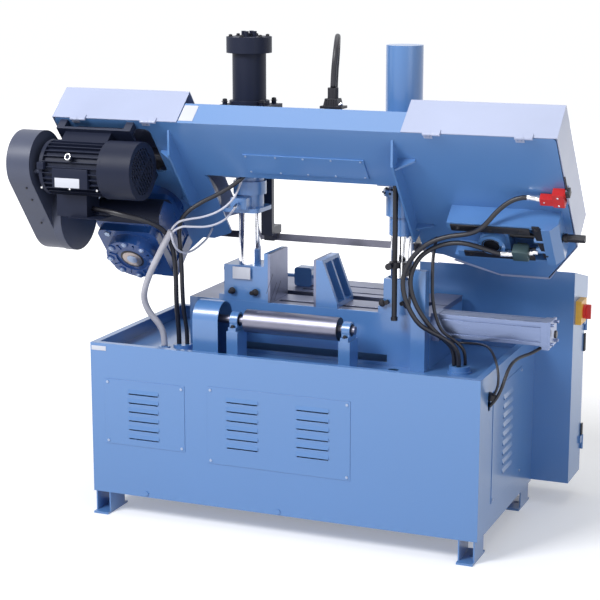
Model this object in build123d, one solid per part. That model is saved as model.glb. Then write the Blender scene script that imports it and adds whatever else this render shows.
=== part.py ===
from build123d import *
import os
from math import cos, sin, radians, hypot, tan

os.makedirs("parts", exist_ok=True)

# Twin-column horizontal band saw. Millimetres, +Z up, +X along the bow, -Y to the infeed side.
# The origin is at floor level, at the centre of the four anchor holes of the feet.

# ---- base cabinet and tray
BASE_L, BASE_D = 1500.0, 734.0          # length and depth of the sheet-metal base
BASE_Z, RIM_Z = 82.0, 658.0             # underside and tray rim
TRAY_Z = 600.0                          # tray floor
SHEET = 4.0
FOOT_W, FOOT_LEN, FOOT_T = 60.0, 156.0, 8.0
FOOT_INSET_X, FOOT_INSET_Y = 39.0, 57.0  # foot centre in from the base's end and face
ANCHOR_R = 9.0
PANEL_T = 2.0
HX, HY = BASE_L / 2, BASE_D / 2

# ---- bed, columns and vise
BED_X0, BED_X1 = -482.0, 471.0          # ends of the bed
BED_Y0, BED_Y1 = -70.0, 433.0           # infeed and outfeed faces of the bed
TABLE_Z, TABLE_T = 795.0, 20.0
BED_WALL = 10.0
RIM_LIP = 26.0                          # folded rim of the tray
BED_BACK = HY - RIM_LIP - 4             # rear wall of the bed, inside the rim
TABLE_X1 = 284.0                        # the outfeed end stops short of the control cabinet
COL_MID_X, COL_SPACING, COL_Y, COL_R = 47.0, 600.0, -17.0, 42.5
COL_L, COL_R_X = COL_MID_X - COL_SPACING / 2, COL_MID_X + COL_SPACING / 2
COL_TOP_L, COL_TOP_R = 1553.0, 1548.0
RUN = 0.05                              # radial running clearance
SOFT = 0.3                              # gap between touching faces of different bodies
JAW_X = -150.0                          # working face of the fixed jaw
JAW_LEN, JAW_H, JAW_PLATE = 170.0, 185.0, 10.0
VISE_GAP = 173.0                        # jaw opening as drawn
VISE_Y, VISE_Z, VISE_SQ = -10.0, 762.0, 84.0
VISE_ROD_R = 12.5
SLOT_W = 28.0
BLOCK_H = 135.0

# ---- infeed roller
ROLL_Y, ROLL_R, ROLL_X0, ROLL_X1 = -202.0, 42.5, -187.0, 177.0
ROLL_SHAFT_R = 15.0

# ---- bow: a plate frame leaning over the columns; its own axes are x, p (down) and q (back)
TILT = 40.7
HINGE_Y, HINGE_Z = -351.0, 1484.2       # the bow's top front edge
BOW_X = 45.0
BOW_HALF = 937.0                        # half the length over the wheel covers
COVER_L_IN, COVER_R_IN = -388.0, 447.0  # inner ends of the two covers
BEAM_P, BEAM_Q, BEAM_WALL = 274.0, 95.0, 8.0
PLATE_T = 8.0
COVER_Q, COVER_T, COVER_P = 150.0, 3.0, 740.0
WHEEL_SPAN, WHEEL_R, WHEEL_P = 1330.0, 230.0, 450.0
WHEEL_X1, WHEEL_X2 = BOW_X - WHEEL_SPAN / 2, BOW_X + WHEEL_SPAN / 2
BLADE_W, BLADE_T, BLADE_Q = 27.0, 1.1, 60.0
WHEEL_W = 34.0
SHAFT_R = 25.0
RIB_Q = 60.0
SLEEVE_R, SLEEVE_TOP = 52.0, 1510.0
LIFT_DOWN, LIFT_UP = 200.0, 25.0
TRAVEL_GAP = 2.0                        # what is left between sleeve and clamp block at the bottom
SKIRT_R, SKIRT_Z = 49.0, 1078.0         # lower end of the right sleeve
C, S = cos(radians(TILT)), sin(radians(TILT))

BOW = Plane(origin=(0, HINGE_Y, HINGE_Z), x_dir=(1, 0, 0), z_dir=(0, C, S)).location
BLADE_P = WHEEL_P + WHEEL_R + BLADE_T / 2
# ---- drive
MOTOR_P, MOTOR_Q, MOTOR_R = 100.0, -150.0, 100.0
WORM_CENTRES = 100.0                    # worm axis to wheel axis
WORM_P, WORM_Q = WHEEL_P - WORM_CENTRES, -145.0
BELT_X0, BELT_X1 = -992.0, -897.0       # belt cover, outer and inner side
DRUM_X1, DRUM_R = -862.0, 140.0         # deeper part of the cover around the worm shaft
PULLEY_M_R, PULLEY_W_R = 55.0, 120.0
BELT_T, BELT_W = 8.0, 34.0
GEAR_FACE_Q = -280.0
# ------------------------------------------------------------------ base
LOUVRE_PITCH, LOUVRE_OUT = 34.2, 4.0
LOUVRE_UP, LOUVRE_DOWN, LOUVRE_GAP = 12.0, 3.0, 5.5    # hood above and below its middle, opening under it
LOUVRE_Z = (395.5, 405.0)                        # middle of the rows on the left and the right panel
SIDE_ROWS, SIDE_UP = 9, 10.0                     # louvres on the end panel, raised above its middle
LEFT_PANEL = (-692.0, -365.0, 277.0, 526.0)      # x0, x1, z0, z1 on the infeed face
RIGHT_PANEL = (-272.0, 281.0, 247.0, 536.0)
SIDE_PANEL = (-205.0, 185.0, 170.0, 580.0)       # y0, y1, z0, z1 on the right end
LOUVRE_W = 126.0
WINDOW_IN = 25.0                                 # panel overlap on its window
CABLE_SLOT = (-254.0, 558.0, 34.0, 70.0)         # y, z, width and height on the right end
TRAY_HOLES = ((-478.0, -143.0, 36.0), (-528.0, -198.0, 22.0), (585.0, -66.0, 38.0))
ROD_HOLE_R = 20.0                       # the stop rod dips through the tray floor
GLAND_TOP = TRAY_Z + 26.0
SCREW_R, SCREW_H = 5.0, 3.0
BLOCK_Y1 = 63.0
JAW_BACK = 15.0
STEP_H = 20.0
MJAW_X = JAW_X + VISE_GAP
MJAW_FOOT = 93.0
MJAW_H = 175.0
CAP_L = 26.0
CYL_X0, CYL_X1 = BED_X1 + CAP_L, BED_X1 + CAP_L + 376.0
PISTON_X, PISTON_W, PISTON_R = CYL_X0 + 203.0, 30.0, 34.0
# ------------------------------------------------------------------ infeed roller
ROLL_Z = TABLE_Z - ROLL_R
STAND_TOP = ROLL_Z - 36.0
BEARING_W = 30.0
STANDS_X = (ROLL_X0 - 42.0, ROLL_X1 + 32.0)
GUARD_X0, GUARD_X1, GUARD_R = -377.0, -275.0, 66.0
POST_X, POST_Y, POST_W, POST_D, POST_TOP = 441.25, -92.5, 53.5, 45.0, 968.0
ROD_X, ROD_Y, ROD_R, ROD_Z0, ROD_Z1 = 353.0, -117.0, 9.5, 790.0, 1300.0
DOG_Z = 985.0
TABLE_CLEAR_P = 640.0                   # the plates reach no lower where the table passes below them
RIB_L, RIB_R, RIB_T = -439.0, 404.0, 8.0
POST_GUSSET = 28.0                      # shorter web, clear of the post at the bottom of the travel
COL_BOX = 62.0
COL_BOX_Y0, COL_BOX_Z0 = -122.0, 1265.0
RAIL_Y = 51.0
BACK_WEB_Y, BACK_WEB_Z = -180.0, 1390.0
RING_R = 66.0
SPIGOT_R = 60.0
MOUNT_Q0, MOUNT_Q1 = -44.0, -34.0
SHELF_X0, SHELF_X1, SHELF_Y0, SHELF_Y1, SHELF_Z = 66.0, 188.0, -239.0, 12.0, 1496.0
HOOD_X, HOOD_Y = 143.0, -190.0
HOOD_Z = (1540.0, 1549.0, 1575.0)       # flange bottom, flange top, shoulder
HOOD_TOP = 1612.0
FLANGE_Z = TABLE_Z + BLOCK_H + LIFT_DOWN + TRAVEL_GAP
FLANGE_T = 15.0
OIL_Y, OIL_TOP = COL_Y - SLEEVE_R, FLANGE_Z + FLANGE_T + 41
PLATE_TOP = SLEEVE_TOP + 16
BARREL_R, BARREL_IN, CAP_R, CAP_H, CAP_T = 62.0, 50.0, 83.5, 58.0, 17.0
CAP_TOP = COL_TOP_L + LIFT_DOWN + TRAVEL_GAP + CAP_T     # the cap stops just above the column's end
BARREL_TOP = CAP_TOP - CAP_H
RING_Z0, RING_Z1, RING_TOP = 1148.0, 1221.0, 1244.0      # collar and bolted ring of the sleeves
COVER_TUBE_R, COVER_TUBE_TOP = 66.0, 1755.0
# ------------------------------------------------------------------ blade, wheels and guides
GUIDE_L_X, GUIDE_R_X = -230.0, 337.0
TWIST_Y = (130.0, 140.0)                # shallow groove under the twisting ends of the blade
RAIL_Z0, RAIL_Z1, RAIL_T = 1300.0, 1360.0, 26.0
GUIDE_Z0, GUIDE_Z1 = 996.5, 1052.0
BLADE_GAP = 0.4
BLADE_FLAT = 70.0                       # the blade leaves each wheel flat for this far
GEAR_WHEEL_R, WORM_R = 79.0, 20.0
GEAR_X0, GEAR_X1 = -745.0, -505.0
GEAR_P0, GEAR_P1 = 296.0, 582.0
GEAR_Q0, GEAR_Q1 = -240.0, -50.0
COVER_M_R, COVER_W_R = 118.0, 145.0
MOTOR_X0, MOTOR_X1, FAN_X1 = -868.0, -620.0, -500.0
MOTOR_SHAFT_R = 14.0
HINGE_R = 5.0
HINGE_P, HINGE_Q = -4.0, -6.0
CARRIER_Q0, CARRIER_Q1 = -62.0, -16.0
SCREW_P, SCREW_Q = WHEEL_P, -40.0
TENSION_SCREW_R, COLLAR_R = 10.0, 16.0
HOSE_PORTS_P, HOSE_PORT_Q, HOSE_PORT_X = (425.0, 480.0), -76.0, 862.0
BOW_X1 = BOW_X + BOW_HALF
PORT_GAP = 3                            # cable end to the interlock's face, which it meets at a slant
SWITCH_X0 = BOW_X1 - 92                 # interlock of the right cover
# ------------------------------------------------------------------ control cabinet
CAB_X0, CAB_X1 = 290.0, 895.0
CAB_Y0, CAB_Y1, CAB_Y2 = HY, 558.0, 598.0
CAB_Z0, CAB_ZT, CAB_ZR, CAB_ZC = 88.0, 908.0, 853.0, 775.0
DOOR_Z0, DOOR_Z1 = 110.0, 735.0
DOOR_T = 4.0
PANEL_PLATE_T = 3.0
SWITCH_Y, SWITCH_Z = 440.0, 748.0
BUTTON_R, BUTTON_X = 11.0, (-150.0, -60.0, 30.0)
BUTTON_TRAVEL = 5.0
HINGE_CAB = (CAB_X1 + 4, CAB_Y1 + 6)
JOIN = (-440.0, -302.0, 1085.0)
TERM_X, TERM_Y, TERM_Z = -705.0, -400.0, 1165.0
FIT_F = (CYL_X0 - CAP_L / 2, VISE_Y - 24, VISE_Z - VISE_SQ / 2 - 11)
FIT_R = (CYL_X1 + CAP_L / 2, VISE_Y - 12, VISE_Z - VISE_SQ / 2 - 11)


def bow_point(x, p, q):
    """A point of the bow's own axes in the row frame."""
    return (x, HINGE_Y + S * p + C * q, HINGE_Z - C * p + S * q)


_, BLADE_Y, BLADE_Z = bow_point(0, BLADE_P, BLADE_Q)


def box(x0, x1, y0, y1, z0, z1):
    return Pos((x0 + x1) / 2, (y0 + y1) / 2, (z0 + z1) / 2) * Box(abs(x1 - x0), abs(y1 - y0), abs(z1 - z0))


def rod_x(r, x0, x1, y, z):
    return Pos((x0 + x1) / 2, y, z) * Rot(0, 90, 0) * Cylinder(r, x1 - x0)


def rod_y(r, y0, y1, x, z):
    return Pos(x, (y0 + y1) / 2, z) * Rot(90, 0, 0) * Cylinder(r, y1 - y0)


def rod_z(r, z0, z1, x, y):
    return Pos(x, y, (z0 + z1) / 2) * Cylinder(r, z1 - z0)


def prism_x(points, x0, x1):
    """A polygon of (y, z) points drawn out along X."""
    return extrude(Plane.YZ.offset(x0) * Polygon(*points, align=None), amount=x1 - x0, dir=(1, 0, 0))


def prism_z(points, z0, z1, r=0.0):
    """A polygon of (x, y) points drawn out along Z, its corners rounded by r."""
    sk = Polygon(*points, align=None)
    if r:
        sk = fillet(sk.vertices(), r)
    return extrude(Plane.XY.offset(z0) * sk, amount=z1 - z0, dir=(0, 0, 1))


def prism_y(points, y0, y1):
    """A polygon of (x, z) points drawn out along Y."""
    return extrude(Plane.XZ.offset(-y0) * Polygon(*points, align=None), amount=y1 - y0, dir=(0, 1, 0))


def group(*shapes):
    """Separate solids kept as one node."""
    solids = []
    for s in shapes:
        solids += list(s.solids())
    return Compound(children=solids)


def save(name, shape):
    export_step(shape, f"parts/{name}.step")
    print(f"{name:24s} solids {len(shape.solids())} volume {shape.volume / 1e3:10.1f} cm3")


def panel_louvres():
    """Centres and widths of the louvres on the three service panels."""
    rows = []
    for x, n in ((-533.0, 6), (-135.0, 6), (138.0, 6)):
        mid = LOUVRE_Z[0] if x < LEFT_PANEL[1] else LOUVRE_Z[1]
        rows += [("front", x, mid + (i - (n - 1) / 2) * LOUVRE_PITCH) for i in range(n)]
    mid = (SIDE_PANEL[2] + SIDE_PANEL[3]) / 2 + SIDE_UP
    rows += [("side", (SIDE_PANEL[0] + SIDE_PANEL[1]) / 2,
              mid + (i - (SIDE_ROWS - 1) / 2) * LOUVRE_PITCH) for i in range(SIDE_ROWS)]
    return rows


def service_panels():
    out = []
    hoods, slots = [], []
    for face, a, z in panel_louvres():
        w, z0 = LOUVRE_W / 2, z - LOUVRE_DOWN
        if face == "front":
            y = -HY - PANEL_T
            hood = prism_x([(y, z + LOUVRE_UP), (y - LOUVRE_OUT, z0), (y, z0)], a - w, a + w)
            slot = box(a - w + 3, a + w - 3, y - 1, -HY + 1, z0 - LOUVRE_GAP, z0)
        else:
            x = HX + PANEL_T
            hood = Pos(0, a, 0) * Rot(0, 0, 90) * prism_x(
                [(-x, z + LOUVRE_UP), (-x - LOUVRE_OUT, z0), (-x, z0)], -w, w)
            slot = box(HX - 1, x + 1, a - w + 3, a + w - 3, z0 - LOUVRE_GAP, z0)
        hoods.append(hood)
        slots.append(slot)
    for x0, x1, z0, z1 in (LEFT_PANEL, RIGHT_PANEL):
        out.append(box(x0, x1, -HY - PANEL_T, -HY, z0, z1))
    y0, y1, z0, z1 = SIDE_PANEL
    out.append(box(HX, HX + PANEL_T, y0, y1, z0, z1))
    solids = []
    for plate in out:
        b = plate.bounding_box()
        near = []
        for hood in hoods:
            c = hood.bounding_box().center()
            if b.min.X - 9 < c.X < b.max.X + 9 and b.min.Y - 9 < c.Y < b.max.Y + 9:
                near.append(hood)
        body = plate + near
        cut = [s for s in slots if b.min.X - 9 < s.center().X < b.max.X + 9
               and b.min.Y - 9 < s.center().Y < b.max.Y + 9]
        solids.append(body - cut)
    return group(*solids)


def base_cabinet():
    body = box(-HX, HX, -HY, HY, BASE_Z, RIM_Z)
    body -= box(-HX + SHEET, HX - SHEET, -HY + SHEET, HY - SHEET, TRAY_Z, RIM_Z + 1)
    body -= box(-HX + SHEET, HX - SHEET, -HY + SHEET, HY - SHEET, BASE_Z + SHEET, TRAY_Z - SHEET)
    lip = box(-HX, HX, -HY, HY, RIM_Z - SHEET, RIM_Z) - box(
        -HX + RIM_LIP, HX - RIM_LIP, -HY + RIM_LIP, HY - RIM_LIP, RIM_Z - 2 * SHEET, RIM_Z + 1)
    body += lip
    for x0, x1, z0, z1 in (LEFT_PANEL, RIGHT_PANEL):
        body -= box(x0 + WINDOW_IN, x1 - WINDOW_IN, -HY - 1, -HY + SHEET + 1, z0 + WINDOW_IN, z1 - WINDOW_IN)
    y0, y1, z0, z1 = SIDE_PANEL
    body -= box(HX - SHEET - 1, HX + 1, y0 + WINDOW_IN, y1 - WINDOW_IN, z0 + WINDOW_IN, z1 - WINDOW_IN)
    cy, cz, w, h = CABLE_SLOT
    slot = Plane.YZ.offset(HX - SHEET - 1) * Pos(cy, cz) * SlotOverall(h, w, rotation=90)
    body -= extrude(slot, amount=SHEET + 2, dir=(1, 0, 0))
    for x, y, r in TRAY_HOLES:
        body -= rod_z(r, TRAY_Z - SHEET - 1, TRAY_Z + 1, x, y)
    body -= rod_z(ROD_HOLE_R, TRAY_Z - SHEET - 1, TRAY_Z + 1, ROD_X, ROD_Y)
    return body


def tray_glands():
    """Sealed glands where the hoses drop through the tray, and blanking plugs."""
    parts = []
    for x, y, r in TRAY_HOLES:
        parts.append(rod_z(r + 6, TRAY_Z, TRAY_Z + 8, x, y) + rod_z(r, TRAY_Z - SHEET, GLAND_TOP, x, y))
    for x in (-528.0, 5.0):
        parts.append(rod_y(8.5, -HY - 4, -HY, x, 96.0))
    return group(*parts)


def foot(sx, sy):
    x, y = sx * (HX - FOOT_INSET_X), sy * (HY - FOOT_INSET_Y)
    shape = box(x - FOOT_W / 2, x + FOOT_W / 2, y - FOOT_LEN / 2, y + FOOT_LEN / 2, 0, FOOT_T)
    inner = FOOT_W / 2 - 5
    for s in (-1, 1):
        shape += box(x + s * inner, x + s * FOOT_W / 2, y - FOOT_LEN / 2 + 22, y + FOOT_LEN / 2 - 22, 0,
                     BASE_Z)
    return shape - rod_z(ANCHOR_R, -1, FOOT_T + 1, x, y)


def base_feet():
    return group(*[foot(sx, sy) for sx in (-1, 1) for sy in (-1, 1)])


def panel_screws():
    parts = []
    for x0, x1, z0, z1 in (LEFT_PANEL, RIGHT_PANEL):
        for x in (x0 + 12, x1 - 12):
            for z in (z0 + 12, z1 - 12):
                parts.append(rod_y(SCREW_R, -HY - PANEL_T - SCREW_H, -HY - PANEL_T, x, z))
    y0, y1, z0, z1 = SIDE_PANEL
    for y in (y0 + 12, y1 - 12):
        for z in (z0 + 12, z1 - 12):
            parts.append(rod_x(SCREW_R, HX + PANEL_T, HX + PANEL_T + SCREW_H, y, z))
    return group(*parts)


# ------------------------------------------------------------------ bed and vise
def bed_frame():
    top = TABLE_Z - TABLE_T
    body = box(BED_X0, BED_X1, BED_Y0, BED_BACK, TRAY_Z, top)
    body -= box(BED_X0 + BED_WALL, BED_X1 - BED_WALL, BED_Y0 + BED_WALL, BED_BACK - BED_WALL, TRAY_Z - 1,
                top + 1)
    body += box(BED_X0, BED_X1, BED_Y0, BED_Y0 + BED_WALL, top, TABLE_Z)
    body += box(BED_X0, TABLE_X1, BED_BACK - 1, BED_Y1 - 10, top - 12, top)
    body -= box(BED_X0 + 130, BED_X1 - 160, BED_Y0 - 1, BED_Y0 + BED_WALL + 1, TRAY_Z + 12, TRAY_Z + 40)
    body -= rod_x(VISE_ROD_R + 6, BED_X1 - BED_WALL - 1, BED_X1 + 1, VISE_Y, VISE_Z)
    return body


def table_plate():
    slab = box(BED_X0, BED_X1, BED_Y0 + BED_WALL, BED_BACK, TABLE_Z - TABLE_T, TABLE_Z)
    slab += box(BED_X0, TABLE_X1, BED_BACK - 1, BED_Y1, TABLE_Z - TABLE_T, TABLE_Z)
    slab -= box(JAW_X + 12, COL_R_X - 60, VISE_Y - SLOT_W / 2, VISE_Y + SLOT_W / 2, TABLE_Z - TABLE_T - 1,
                TABLE_Z + 1)
    slab -= box(GUIDE_L_X - 195, GUIDE_R_X + 140, *TWIST_Y, TABLE_Z - 2, TABLE_Z + 1)
    slab -= box(GUIDE_L_X - 100, GUIDE_R_X + 80, GUIDE_Y0 - 3, GUIDE_Y1 + 3, TABLE_Z - TABLE_T - 1,
                TABLE_Z + 1)
    for y, w in ((BLADE_Y + 85.0, 18.0), (BLADE_Y + 190.0, 18.0)):
        slab -= box(JAW_X + 12, COL_R_X + 20, y - w / 2, y + w / 2, TABLE_Z - 8, TABLE_Z + 1)
    return slab


def columns():
    left = rod_z(COL_R, TABLE_Z, COL_TOP_L - 15, COL_L, COL_Y)
    left += rod_z(BARREL_IN - RUN, COL_TOP_L - 15, COL_TOP_L, COL_L, COL_Y)
    right = rod_z(COL_R, TABLE_Z, COL_TOP_R, COL_R_X, COL_Y)
    return group(left, right)


def left_clamp_block():
    x0, x1 = COL_L - 85, JAW_X - JAW_PLATE - JAW_BACK
    top = TABLE_Z + BLOCK_H
    body = box(x0, x1, BED_Y0, BLOCK_Y1, TABLE_Z, top)
    body += box(x0 - 22, x1, BED_Y0, BLOCK_Y1, TABLE_Z, TABLE_Z + STEP_H)
    y1 = BED_Y0 + JAW_LEN
    body += box(x1, x1 + JAW_BACK, BED_Y0, y1, TABLE_Z, TABLE_Z + JAW_H)
    body -= rod_z(COL_R, TABLE_Z - 1, top + 30, COL_L, COL_Y)
    return body


def right_clamp_block():
    half = 52.0
    body = box(COL_R_X - half, COL_R_X + half, BED_Y0, BLOCK_Y1, TABLE_Z, TABLE_Z + BLOCK_H - 8)
    body += box(COL_R_X - 72, COL_R_X + half, BED_Y0, BLOCK_Y1, TABLE_Z, TABLE_Z + STEP_H + 4)
    body -= rod_z(SKIRT_R + 1, SKIRT_Z - LIFT_DOWN - TRAVEL_GAP, TABLE_Z + BLOCK_H, COL_R_X, COL_Y)
    return body - rod_z(COL_R, TABLE_Z - 1, TABLE_Z + BLOCK_H, COL_R_X, COL_Y)


def clamp_bolts():
    """Socket screws of the two clamp blocks, seated on the faces they pull on."""
    parts = []
    for x in (COL_L - 55, COL_L + 32):
        parts.append(rod_y(8.0, BED_Y0 - 14, BED_Y0, x, TABLE_Z + 34))
    for z in (TABLE_Z + 60, TABLE_Z + 115):
        parts.append(rod_x(7.0, COL_L - 85 - 10, COL_L - 85, COL_Y - 28, z))
    for x in (COL_R_X - 36, COL_R_X + 22):
        parts.append(rod_y(8.0, BED_Y0 - 14, BED_Y0, x, TABLE_Z + 42))
    return group(*parts)


def fixed_jaw_plate():
    return box(JAW_X - JAW_PLATE, JAW_X, BED_Y0, BED_Y0 + JAW_LEN, TABLE_Z + SOFT, TABLE_Z + JAW_H)


def moving_jaw():
    x0, z0, z1 = MJAW_X + JAW_PLATE, TABLE_Z + SOFT, TABLE_Z + MJAW_H
    x1 = MJAW_X + MJAW_FOOT
    side = [(x0, z0), (x1, z0), (x1, z0 + 18), (x0 + 24, z1), (x0, z1)]
    body = prism_y(side, BED_Y0, BED_Y0 + JAW_LEN)
    pocket = box(x0 + 14, x1 + 1, BED_Y0 + 16, BED_Y0 + JAW_LEN - 16, z0 + 18, z1 - 12)
    ribs = box(x0 + 13, x1, BED_Y0 + JAW_LEN / 2 - 6, BED_Y0 + JAW_LEN / 2 + 6, z0 + 10, z1 - 8) & body
    body = (body - pocket) + ribs
    tx0, tx1 = x0 + 12, x0 + 72
    body += box(tx0, tx1, VISE_Y - SLOT_W / 2 + 2, VISE_Y + SLOT_W / 2 - 2, TABLE_Z - TABLE_T - 2, z0 + 5)
    body += box(tx0, tx1, VISE_Y - 27, VISE_Y + 27, VISE_Z - 27, TABLE_Z - TABLE_T - SOFT)
    return body - rod_x(VISE_ROD_R, tx0 - 1, tx1 + 1, VISE_Y, VISE_Z)


def moving_jaw_plate():
    return box(MJAW_X, MJAW_X + JAW_PLATE, BED_Y0, BED_Y0 + JAW_LEN, TABLE_Z + SOFT, TABLE_Z + MJAW_H)


def vise_rod():
    x0 = MJAW_X + JAW_PLATE + 12
    return rod_x(VISE_ROD_R, x0, PISTON_X, VISE_Y, VISE_Z) + rod_x(
        PISTON_R - RUN, PISTON_X - PISTON_W / 2, PISTON_X + PISTON_W / 2, VISE_Y, VISE_Z)


def vise_square(x0, x1, grow=0.0):
    h = VISE_SQ / 2 + grow
    return box(x0, x1, VISE_Y - h, VISE_Y + h, VISE_Z - h, VISE_Z + h)


def vise_cylinder():
    """Grooved square tube with its two end caps and the end plate."""
    tube = vise_square(CYL_X0, CYL_X1)
    h = VISE_SQ / 2
    for s in (-1, 1):
        for off in (-26.0, 26.0):
            tube -= box(CYL_X0 - 1, CYL_X1 + 1, VISE_Y + off - 3, VISE_Y + off + 3, VISE_Z + s * h,
                        VISE_Z + s * (h - 6))
            tube -= box(CYL_X0 - 1, CYL_X1 + 1, VISE_Y + s * h, VISE_Y + s * (h - 6), VISE_Z + off - 3,
                        VISE_Z + off + 3)
    tube -= rod_x(PISTON_R, CYL_X0 - 1, CYL_X1 + 1, VISE_Y, VISE_Z)
    front = vise_square(BED_X1, CYL_X0, 2) - rod_x(VISE_ROD_R + RUN, BED_X1 - 1, CYL_X0 + 1, VISE_Y, VISE_Z)
    rear = vise_square(CYL_X1, CYL_X1 + CAP_L, 2)
    plate = vise_square(CYL_X1 + CAP_L, CYL_X1 + CAP_L + 10, 5)
    for sy in (-1, 1):
        for sz in (-1, 1):
            plate += rod_x(6.0, CYL_X1 + CAP_L + 9, CYL_X1 + CAP_L + 20, VISE_Y + sy * 34, VISE_Z + sz * 34)
    front += box(FIT_F[0] - 12, FIT_F[0] + 14, FIT_F[1] - 9, FIT_F[1] + 9, FIT_F[2] - 8, FIT_F[2] + 10)
    rear += box(FIT_R[0] - 14, FIT_R[0] + 12, FIT_R[1] - 9, FIT_R[1] + 9, FIT_R[2] - 8, FIT_R[2] + 10)
    return group(tube, front, rear, plate)


def feed_roller():
    body = rod_x(ROLL_R, ROLL_X0, ROLL_X1, ROLL_Y, ROLL_Z) - rod_x(ROLL_R - 6, ROLL_X0 + 12, ROLL_X1 - 12,
                                                                   ROLL_Y, ROLL_Z)
    body += rod_x(ROLL_SHAFT_R, GUARD_X0 + 30, ROLL_X1 + 60, ROLL_Y, ROLL_Z)
    body += rod_x(45.0, GUARD_X0 + 40, GUARD_X0 + 52, ROLL_Y, ROLL_Z)
    return body


def roller_supports():
    """Two box stands with a pillow block bolted on each."""
    parts = []
    for x in STANDS_X:
        stand = box(x - 22, x + 22, ROLL_Y - 42, ROLL_Y + 42, TRAY_Z, STAND_TOP)
        parts.append(stand - box(x - 18, x + 18, ROLL_Y - 38, ROLL_Y + 38, TRAY_Z - 1, STAND_TOP - 4))
        block = box(x - BEARING_W / 2, x + BEARING_W / 2, ROLL_Y - 42, ROLL_Y + 42, STAND_TOP, STAND_TOP + 14)
        block += box(x - BEARING_W / 2, x + BEARING_W / 2, ROLL_Y - 28, ROLL_Y + 28, STAND_TOP, ROLL_Z)
        block += rod_x(30.0, x - BEARING_W / 2, x + BEARING_W / 2, ROLL_Y, ROLL_Z)
        parts.append(block - rod_x(ROLL_SHAFT_R + RUN, x - 30, x + 30, ROLL_Y, ROLL_Z))
    return group(*parts)


def chain_guard():
    def tunnel(r, x0, x1, z0):
        return box(x0, x1, ROLL_Y - r, ROLL_Y + r, z0, ROLL_Z) + rod_x(r, x0, x1, ROLL_Y, ROLL_Z)
    return tunnel(GUARD_R, GUARD_X0, GUARD_X1, TRAY_Z) - tunnel(GUARD_R - 3, GUARD_X0 + 3, GUARD_X1 + 1,
                                                                TRAY_Z - 1)


def hose_post():
    outer = box(POST_X - POST_W / 2, POST_X + POST_W / 2, POST_Y - POST_D / 2, POST_Y + POST_D / 2,
                TRAY_Z, POST_TOP)
    inner = box(POST_X - POST_W / 2 + 3, POST_X + POST_W / 2 - 3, POST_Y - POST_D / 2 + 3,
                POST_Y + POST_D / 2 - 3,
                TRAY_Z - 1, POST_TOP - 3)
    top = prism_x([(POST_Y + 9, POST_TOP + 1), (POST_Y + 40, POST_TOP + 1), (POST_Y + 40, POST_TOP - 36)],
                  POST_X - POST_W, POST_X + POST_W)
    return outer - inner - top


def height_limit_switch():
    """Switch on the post that the dog on the stop rod meets at the top of the travel."""
    x1 = RIB_R - 1
    body = box(x1 - 24, x1, POST_Y - 14, POST_Y + 18, DOG_Z - 40, DOG_Z + 8)
    body += box(x1 - 3, x1, POST_Y - 10, POST_Y + 10, DOG_Z - 140, DOG_Z - 39)
    body += box(x1 - 3, POST_X - POST_W / 2, POST_Y - 10, POST_Y + 10, DOG_Z - 140, DOG_Z - 118)
    body += box(x1 - 20, x1 - 8, POST_Y - 22, POST_Y - 13, DOG_Z - 12, DOG_Z)
    return body


def stop_rod():
    rod = rod_z(ROD_R, ROD_Z0, ROD_Z1, ROD_X, ROD_Y) + rod_z(ROD_R + 3, ROD_Z0 - 8, ROD_Z0 + 4, ROD_X, ROD_Y)
    return rod


def stop_dog():
    body = rod_z(ROD_R + 11, DOG_Z - 11, DOG_Z + 11, ROD_X, ROD_Y) - rod_z(ROD_R + RUN, DOG_Z - 20,
                                                                           DOG_Z + 20, ROD_X, ROD_Y)
    body += rod_y(5.0, ROD_Y - ROD_R - 24, ROD_Y - ROD_R - 4, ROD_X - 8, DOG_Z)
    return body + rod_y(12.0, ROD_Y - ROD_R - 40, ROD_Y - ROD_R - 22, ROD_X - 8, DOG_Z)


def length_stop():
    """Outfeed work stop: a rounded block clamped on a short bar that rests in two lugs."""
    y, z = 288.0, TABLE_Z + 36
    block = fillet(box(-190, -118, y - 25, y + 25, TABLE_Z, TABLE_Z + 74).edges().filter_by(Axis.Y), 12)
    bar = rod_x(7.0, -275, -100, y, z)
    lug = box(-290, -275, y - 20, y + 20, TABLE_Z, TABLE_Z + 56)
    return group(block - bar, bar, lug)


# ------------------------------------------------------------------ bow
def tilt(shape):
    return BOW * shape


def left_plate_points(inset):
    x0, x1 = BOW_X - BOW_HALF + inset, -355.0
    p1 = COVER_P - inset - 1
    return [(x0, 0), (COVER_L_IN + 20, 0), (COVER_L_IN + 20, BEAM_P), (x1, BEAM_P + 20), (x1, 600),
            (-440, TABLE_CLEAR_P), (-487, TABLE_CLEAR_P), (-580, p1), (-755 + inset, p1), (x0, 560)]


def right_plate_points(inset):
    x1 = BOW_X + BOW_HALF - inset
    p1 = COVER_P - inset - 1
    return [(COVER_R_IN - 20, 0), (x1, 0), (x1, 545), (855 - inset, p1), (672, p1), (478, TABLE_CLEAR_P),
            (430, TABLE_CLEAR_P - 6), (404, 600),
            (404, BEAM_P), (COVER_R_IN - 20, BEAM_P - 20)]


def rib(x0, p_end):
    """Upright stiffener: its front edge starts upright and then follows the bow."""
    run = RIB_Q / S * C
    pts = [(40, -0.0), (40 + run, -RIB_Q), (p_end, -RIB_Q), (p_end + 18, 0), (p_end + 18, 2), (40, 2)]
    return prism_x(pts, x0, x0 + RIB_T)


def gusset(x, sx, p, height=52.0):
    """Small triangular web beside a rib."""
    pts = [(x, 0), (x + sx * 62, 0), (x + sx * 62, -8), (x, -height)]
    return prism_y(pts, p, p + 8)


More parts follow.
